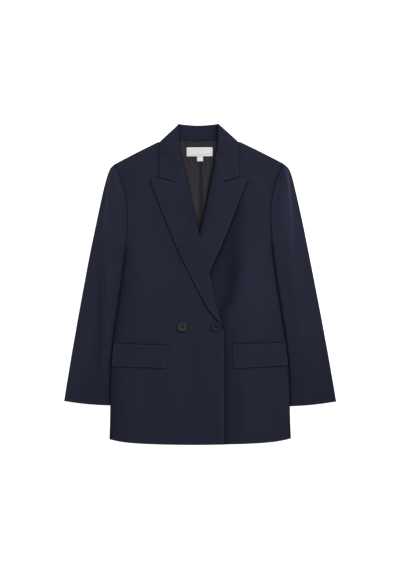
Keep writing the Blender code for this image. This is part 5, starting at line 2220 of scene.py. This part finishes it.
    def build(self, room: Workroom) -> None:
        """Makes and places the fall and the stand.

        Args:
            room: Where the pieces are placed.
        """
        suiting = room.wardrobe.suiting
        room.cloth("collar_stand", self.stand(), suiting, "navy_suiting",
                   Cut(*self.stand_cut, ("back", "front_left", "front_right"), Held.FOLDED))
        room.cloth("collar_fall", self.fall(), suiting, "navy_suiting",
                   Cut(*self.fall_cut, ("front_left", "front_right", "floor"), Held.FOLDED))


# ---- pockets
@dataclass
class Pocket:
    """A flap pocket: the flap and the jet above it, lying on their front."""

    lay: Lay
    hand: Hand
    inner_top: Pair
    inner_low: Pair
    outer_top: Pair
    outer_low: Pair
    jet_height: float = 6.0
    corner: float = 5.0
    columns: int = 70

    def strip(self, top: Array, low: Array, rows: int, rounded: bool) -> Shell:
        """A strip between two edges, a quarter circle off its lower corners if rounded.

        Args:
            top: (2, 2) ends of the upper edge.
            low: (2, 2) ends of the lower edge.
            rows: Lines of points between the edges.
            rounded: Whether the lower corners are rounded.

        Returns:
            The strip's shell.
        """
        length = float(np.linalg.norm(top[1] - top[0]))
        close = self.corner / length
        ends = close * (1.0 - np.cos(np.linspace(0.0, np.pi / 2, 12)))
        middle = np.linspace(close, 1.0 - close, self.columns - 24)[1:-1]
        share = np.concatenate([ends, middle, 1.0 - ends[::-1]])
        from_end = np.minimum(share, 1.0 - share) / close
        off = self.corner * (1.0 - np.sqrt(1.0 - np.clip(1.0 - from_end, 0.0, 1.0) ** 2)) * rounded
        upper, lower = mix(top[0], top[1], share[:, None]), mix(low[0], low[1], share[:, None])
        lower[:, 1] += off
        down = np.linspace(0.0, 1.0, rows)[:, None]
        x = mix(upper[:, 0], lower[:, 0], down)
        y = mix(upper[:, 1], lower[:, 1], down)
        level = self.lay.front_level(x, y, self.hand) + self.lay.front_half(x, y) + 0.5 + self.lay.half
        free = near(y - y[-1:], 0.45, 1.6) * rounded
        lift = 0.8 * ramp(down, 0.2, 0.9) * rounded
        # painted highlight on ridges and painted shade in troughs
        tone = np.exp(self.lay.creases(x, y, self.hand) / PAINTED_TONE_RELIEF)
        grid = layered(x, y, level - free + lift, self.lay.half, tone)
        return Shell(mirrored(grid, self.hand), Rim(Side(0.45), FREE, FREE, FREE))

    def build(self, room: Workroom) -> None:
        """Makes and places the flap and the jet.

        Args:
            room: Where the pieces are placed.
        """
        word, suiting = self.hand.word, room.wardrobe.suiting
        top = np.array([self.inner_top, self.outer_top])
        low = np.array([self.inner_low, self.outer_low])
        up = unit(top[0] - low[0])
        width = float(np.linalg.norm(top[1] - top[0]))
        jet_low, jet_top = top + up * 0.5, top + up * self.jet_height
        room.cloth("flap_" + word, self.strip(top, low, 24, True), suiting, "navy_suiting",
                   Cut(width + 4.0, 58.0, ("front_" + word,)))
        room.cloth("jet_" + word, self.strip(jet_top, jet_low, 6, False), suiting, "navy_suiting",
                   Cut(width + 1.0, 10.0, ("front_" + word,)))


# ---- buttons
class ProfilePoint(NamedTuple):
    """A point of the button's section: share of the radius, and height in mm."""

    radius: float
    height: float


@dataclass
class Button:
    """A dished four-hole button, sewn on with crossing thread."""

    lay: Lay
    node: str
    x: float
    # True for the button drawn with the darker copy of its finish, painted shade
    in_shade: bool = False
    y: float = -103.5
    radius: float = 11.3
    shank: float = 0.5
    hole_radius: float = 1.3
    hole_space: float = 2.15
    hole_depth: float = 1.5
    around: int = 128
    profile: tuple[ProfilePoint, ...] = (
        ProfilePoint(0.0, 2.2), ProfilePoint(0.28, 2.25), ProfilePoint(0.38, 2.6),
        ProfilePoint(0.50, 3.15), ProfilePoint(0.62, 3.4), ProfilePoint(0.84, 3.5),
        ProfilePoint(0.93, 3.3), ProfilePoint(0.985, 2.7), ProfilePoint(1.0, 1.9),
        ProfilePoint(0.97, 1.2), ProfilePoint(0.88, 0.7), ProfilePoint(0.62, 0.15),
        ProfilePoint(0.30, 0.0), ProfilePoint(0.0, 0.0),
    )

    @property
    def base(self) -> float:
        """Height of the button's underside."""
        level = float(self.lay.front_level(np.array(-self.x), np.array(self.y), Hand.RIGHT))
        return level + self.lay.half + self.shank

    def section(self) -> tuple[Array, Array]:
        """The section as smooth curves over its run, with close points in the middle.

        Returns:
            Radii and heights, from the rim's foot to the middle.
        """
        radius = np.array([point.radius for point in self.profile])
        height = np.array([point.height for point in self.profile])
        run = np.arange(len(self.profile), dtype=float)
        fine = np.concatenate([np.linspace(0.0, 2.0, 34), np.linspace(2.0, run[-1], 60)[1:]])
        return Curve.through(run, radius).at(fine) * self.radius, Curve.through(run, height).at(fine)

    def holes(self, x: Array, y: Array) -> Array:
        """How deep the four holes go at a point of the top: steep-walled wells.

        Args:
            x, y: Points beside the button's middle.

        Returns:
            The depth in mm.
        """
        depth = np.zeros_like(x)
        for side_x in (-1.0, 1.0):
            for side_y in (-1.0, 1.0):
                away = np.hypot(x - side_x * self.hole_space, y - side_y * self.hole_space)
                well = fade(away, self.hole_radius - 0.25, self.hole_radius + 0.25)
                depth = np.maximum(depth, well)
        return self.hole_depth * depth

    def disc(self) -> Mesh:
        """The section turned about the button's axis, with its holes let in.

        Returns:
            The disc's mesh, in metres.
        """
        radius, height = self.section()
        angle = np.linspace(0.0, 2.0 * np.pi, self.around, endpoint=False)
        ring = radius[1:-1, None]
        x, y = ring * np.cos(angle), ring * np.sin(angle)
        on_top = (np.arange(1, len(radius) - 1) < 40)[:, None]
        z = height[1:-1, None] - self.holes(x, y) * on_top + 0.0 * angle
        rings = layered(x, y, z).reshape(-1, 3)
        points = np.concatenate([[[0.0, 0.0, height[0]]], rings, [[0.0, 0.0, height[-1]]]])
        points = points + (self.x, self.y, self.base)
        count = len(radius) - 2
        number = 1 + np.arange(count * self.around).reshape(count, self.around)
        closed = np.concatenate([number, number[:, :1]], axis=1)
        side = quads(closed)[:, ::-1]
        first, last = closed[0], closed[-1]
        top = np.stack([np.zeros(self.around, int), first[:-1], first[1:]], axis=1)
        low = np.stack([np.full(self.around, len(points) - 1), last[1:], last[:-1]], axis=1)
        triangles = np.concatenate([side[:, [0, 1, 2]], side[:, [0, 2, 3]]])
        return fill_mesh(self.node + "_disc", points * MM, np.concatenate([triangles, top, low]))

    def threads(self) -> Mesh:
        """Two crossing strands over the holes and the shank of thread below.

        Returns:
            The mesh of the strands, in metres.
        """
        paths = []
        for offset in (-0.28, 0.28):
            for slant in (1.0, -1.0):
                t = np.linspace(-1.0, 1.0, 17)
                x = t * self.hole_space + offset
                y = slant * t * self.hole_space - slant * offset
                z = 2.1 + 0.42 * np.cos(t * np.pi / 2) - 1.3 * ramp(np.abs(t), 0.82, 1.0)
                paths.append(layered(x, y, z + 0.12 * (slant > 0)))
        turn = np.linspace(0.0, 8.0 * np.pi, 60)
        climb = np.linspace(-self.shank - 0.1, 0.15, 60)
        paths.append(layered(1.25 * np.cos(turn), 1.25 * np.sin(turn), climb))
        tubes = [tube(path + (self.x, self.y, self.base), 0.27) for path in paths]
        return joined(self.node + "_thread", tubes)

    def build(self, room: Workroom) -> None:
        """Makes and places the disc and its thread.

        Args:
            room: Where the pieces are placed.
        """
        finish = room.wardrobe.painted_shade_button if self.in_shade else room.wardrobe.button
        room.place(self.node + "_disc", self.disc(), finish, "button_plastic", [self.node])
        room.place(self.node + "_thread", self.threads(), room.wardrobe.thread, "navy_suiting")


def tube(path: Array, radius: float, sides: int = 8) -> tuple[Array, Array]:
    """A closed tube along a path: rings square to it, shrinking to a point at each end.

    Args:
        path: (points, 3) in mm.
        radius: The tube's radius.
        sides: Points round a ring.

    Returns:
        Its points and its three-cornered faces.
    """
    tangent = unit(np.gradient(path, axis=0))
    across = np.cross(tangent, (0.0, 0.0, 1.0))
    across /= np.maximum(np.linalg.norm(across, axis=1, keepdims=True), 1e-9)
    other = np.cross(tangent, across)
    angle = np.linspace(0.0, 2.0 * np.pi, sides, endpoint=False)[None, :, None]
    rings = path[:, None] + radius * (np.cos(angle) * across[:, None] + np.sin(angle) * other[:, None])
    tips = [path[:1] - tangent[:1] * radius, path[-1:] + tangent[-1:] * radius]
    points = np.concatenate([rings.reshape(-1, 3), *tips])
    number = np.arange(len(path) * sides).reshape(len(path), sides)
    closed = np.concatenate([number, number[:, :1]], axis=1)
    side = quads(closed)
    start, end = len(points) - 2, len(points) - 1
    first, last = closed[0], closed[-1]
    faces = np.concatenate([
        side[:, [0, 1, 2]], side[:, [0, 2, 3]],
        np.stack([np.full(sides, start), first[1:], first[:-1]], axis=1),
        np.stack([np.full(sides, end), last[:-1], last[1:]], axis=1),
    ])
    return points, faces


def joined(name: str, parts: Sequence[tuple[Array, Array]]) -> Mesh:
    """One mesh of several parts, each (points in mm, faces).

    Args:
        name: The name of the new object.
        parts: Points and faces of each part.

    Returns:
        The mesh, in metres.
    """
    starts = np.cumsum([0] + [len(points) for points, _ in parts[:-1]])
    points = np.concatenate([points for points, _ in parts])
    faces = np.concatenate([faces + start for (_, faces), start in zip(parts, starts)])
    return fill_mesh(name, points * MM, faces)


# ---- studio
@dataclass
class Light:
    """A soft rectangular light aimed at the garment's middle."""

    name: str
    place: tuple[float, float, float]
    size: Pair
    power: float

    def build(self) -> None:
        """Makes the light."""
        lamp = bpy.data.lights.new(self.name, "AREA")
        lamp.shape = "RECTANGLE"
        lamp.size, lamp.size_y = self.size
        lamp.energy = self.power
        holder = bpy.data.objects.new(self.name, lamp)
        holder.location = self.place
        away = np.array(self.place)
        holder.rotation_mode = "QUATERNION"
        holder.rotation_quaternion = Vector(away).to_track_quat("Z", "Y")
        bpy.context.scene.collection.objects.link(holder)


@dataclass
class Studio:
    """Floor, lights, surroundings and the camera straight above."""

    frame_height: float = 1.3965
    aim: Pair = (0.00123, -0.00112)
    camera_roll: float = -0.0047
    lens: float = 90.0
    sensor: float = 36.0
    floor_half: float = 6.0
    floor_glow: float = 0.9
    surroundings: float = 0.08
    lights: tuple[Light, ...] = (
        Light("overhead", (0.1, 0.35, 2.2), (3.2, 3.0), 38.0),
        Light("key", (1.5, 1.5, 1.5), (0.9, 0.9), 31.0),
    )

    def floor(self) -> None:
        """A wide plain floor, nearly white."""
        half = self.floor_half
        mesh = bpy.data.meshes.new("floor")
        square = [(-half, -half, 0), (half, -half, 0), (half, half, 0), (-half, half, 0)]
        mesh.from_pydata(square, [], [(0, 1, 2, 3)])
        material, wiring, shader = new_material("pale_floor")
        wiring.feed(shader, Base_Color=(0.93, 0.93, 0.93, 1.0), Roughness=0.9, Specular_IOR_Level=0.0,
                    Emission_Color=(1.0, 1.0, 1.0, 1.0), Emission_Strength=self.floor_glow)
        mesh.materials.append(material)
        floor = bpy.data.objects.new("floor", mesh)
        bpy.context.scene.collection.objects.link(floor)
        floor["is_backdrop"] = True

    def camera(self) -> None:
        """A camera straight above, turned a little, as far as its long side needs."""
        lens = bpy.data.cameras.new("camera")
        lens.lens = self.lens
        lens.sensor_width = self.sensor
        holder = bpy.data.objects.new("camera", lens)
        holder.location = (*self.aim, self.frame_height * self.lens / self.sensor)
        holder.rotation_euler = (0.0, 0.0, self.camera_roll)
        bpy.context.scene.collection.objects.link(holder)
        bpy.context.scene.camera = holder

    def world(self) -> None:
        """Even pale surroundings and a plain view transform."""
        world = bpy.data.worlds.new("studio")
        world.use_nodes = True
        background = world.node_tree.nodes["Background"]
        Wiring(world.node_tree).feed(background, Color=(1.0, 1.0, 1.0, 1.0), Strength=self.surroundings)
        bpy.context.scene.world = world
        bpy.context.scene.view_settings.view_transform = "Standard"

    def build(self) -> None:
        """Makes the whole studio."""
        self.floor()
        self.camera()
        self.world()
        for light in self.lights:
            light.build()


def corners(box: tuple) -> list[list[float]]:
    """A box's two corners as plain lists."""
    return [[float(value) for value in corner] for corner in box]


def main() -> None:
    """Builds the garment and its studio in order."""
    logging.basicConfig(level=logging.INFO, format="%(name)s: %(message)s")
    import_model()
    cad_box = corners(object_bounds())
    lay = Lay()
    room = Workroom(Wardrobe.make())
    Studio().build()
    Body(lay).build(room)
    NeckLining(lay).build(room)
    for hand in Hand:
        Sleeve(lay, hand).build(room)
        Lapel(lay, hand).build(room)
    Collar(lay).build(room)
    Pocket(lay, Hand.RIGHT, inner_top=(76.4, -147.7), inner_low=(80.6, -205.4),
           outer_top=(211.0, -142.2), outer_low=(215.6, -199.3)).build(room)
    Pocket(lay, Hand.LEFT, inner_top=(79.9, -145.6), inner_low=(83.1, -206.1),
           outer_top=(211.0, -141.9), outer_low=(215.6, -199.5)).build(room)
    Button(lay, "button_outer", x=-42.8).build(room)
    # this button gets the darker copy of the button finish, painted shade
    Button(lay, "button_inner", x=39.4, in_shade=True).build(room)
    {"cad": cad_box, "visual": corners(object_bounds())}
    LOG.info("%d pieces placed", room.count)


if __name__ == "__main__":
    main()
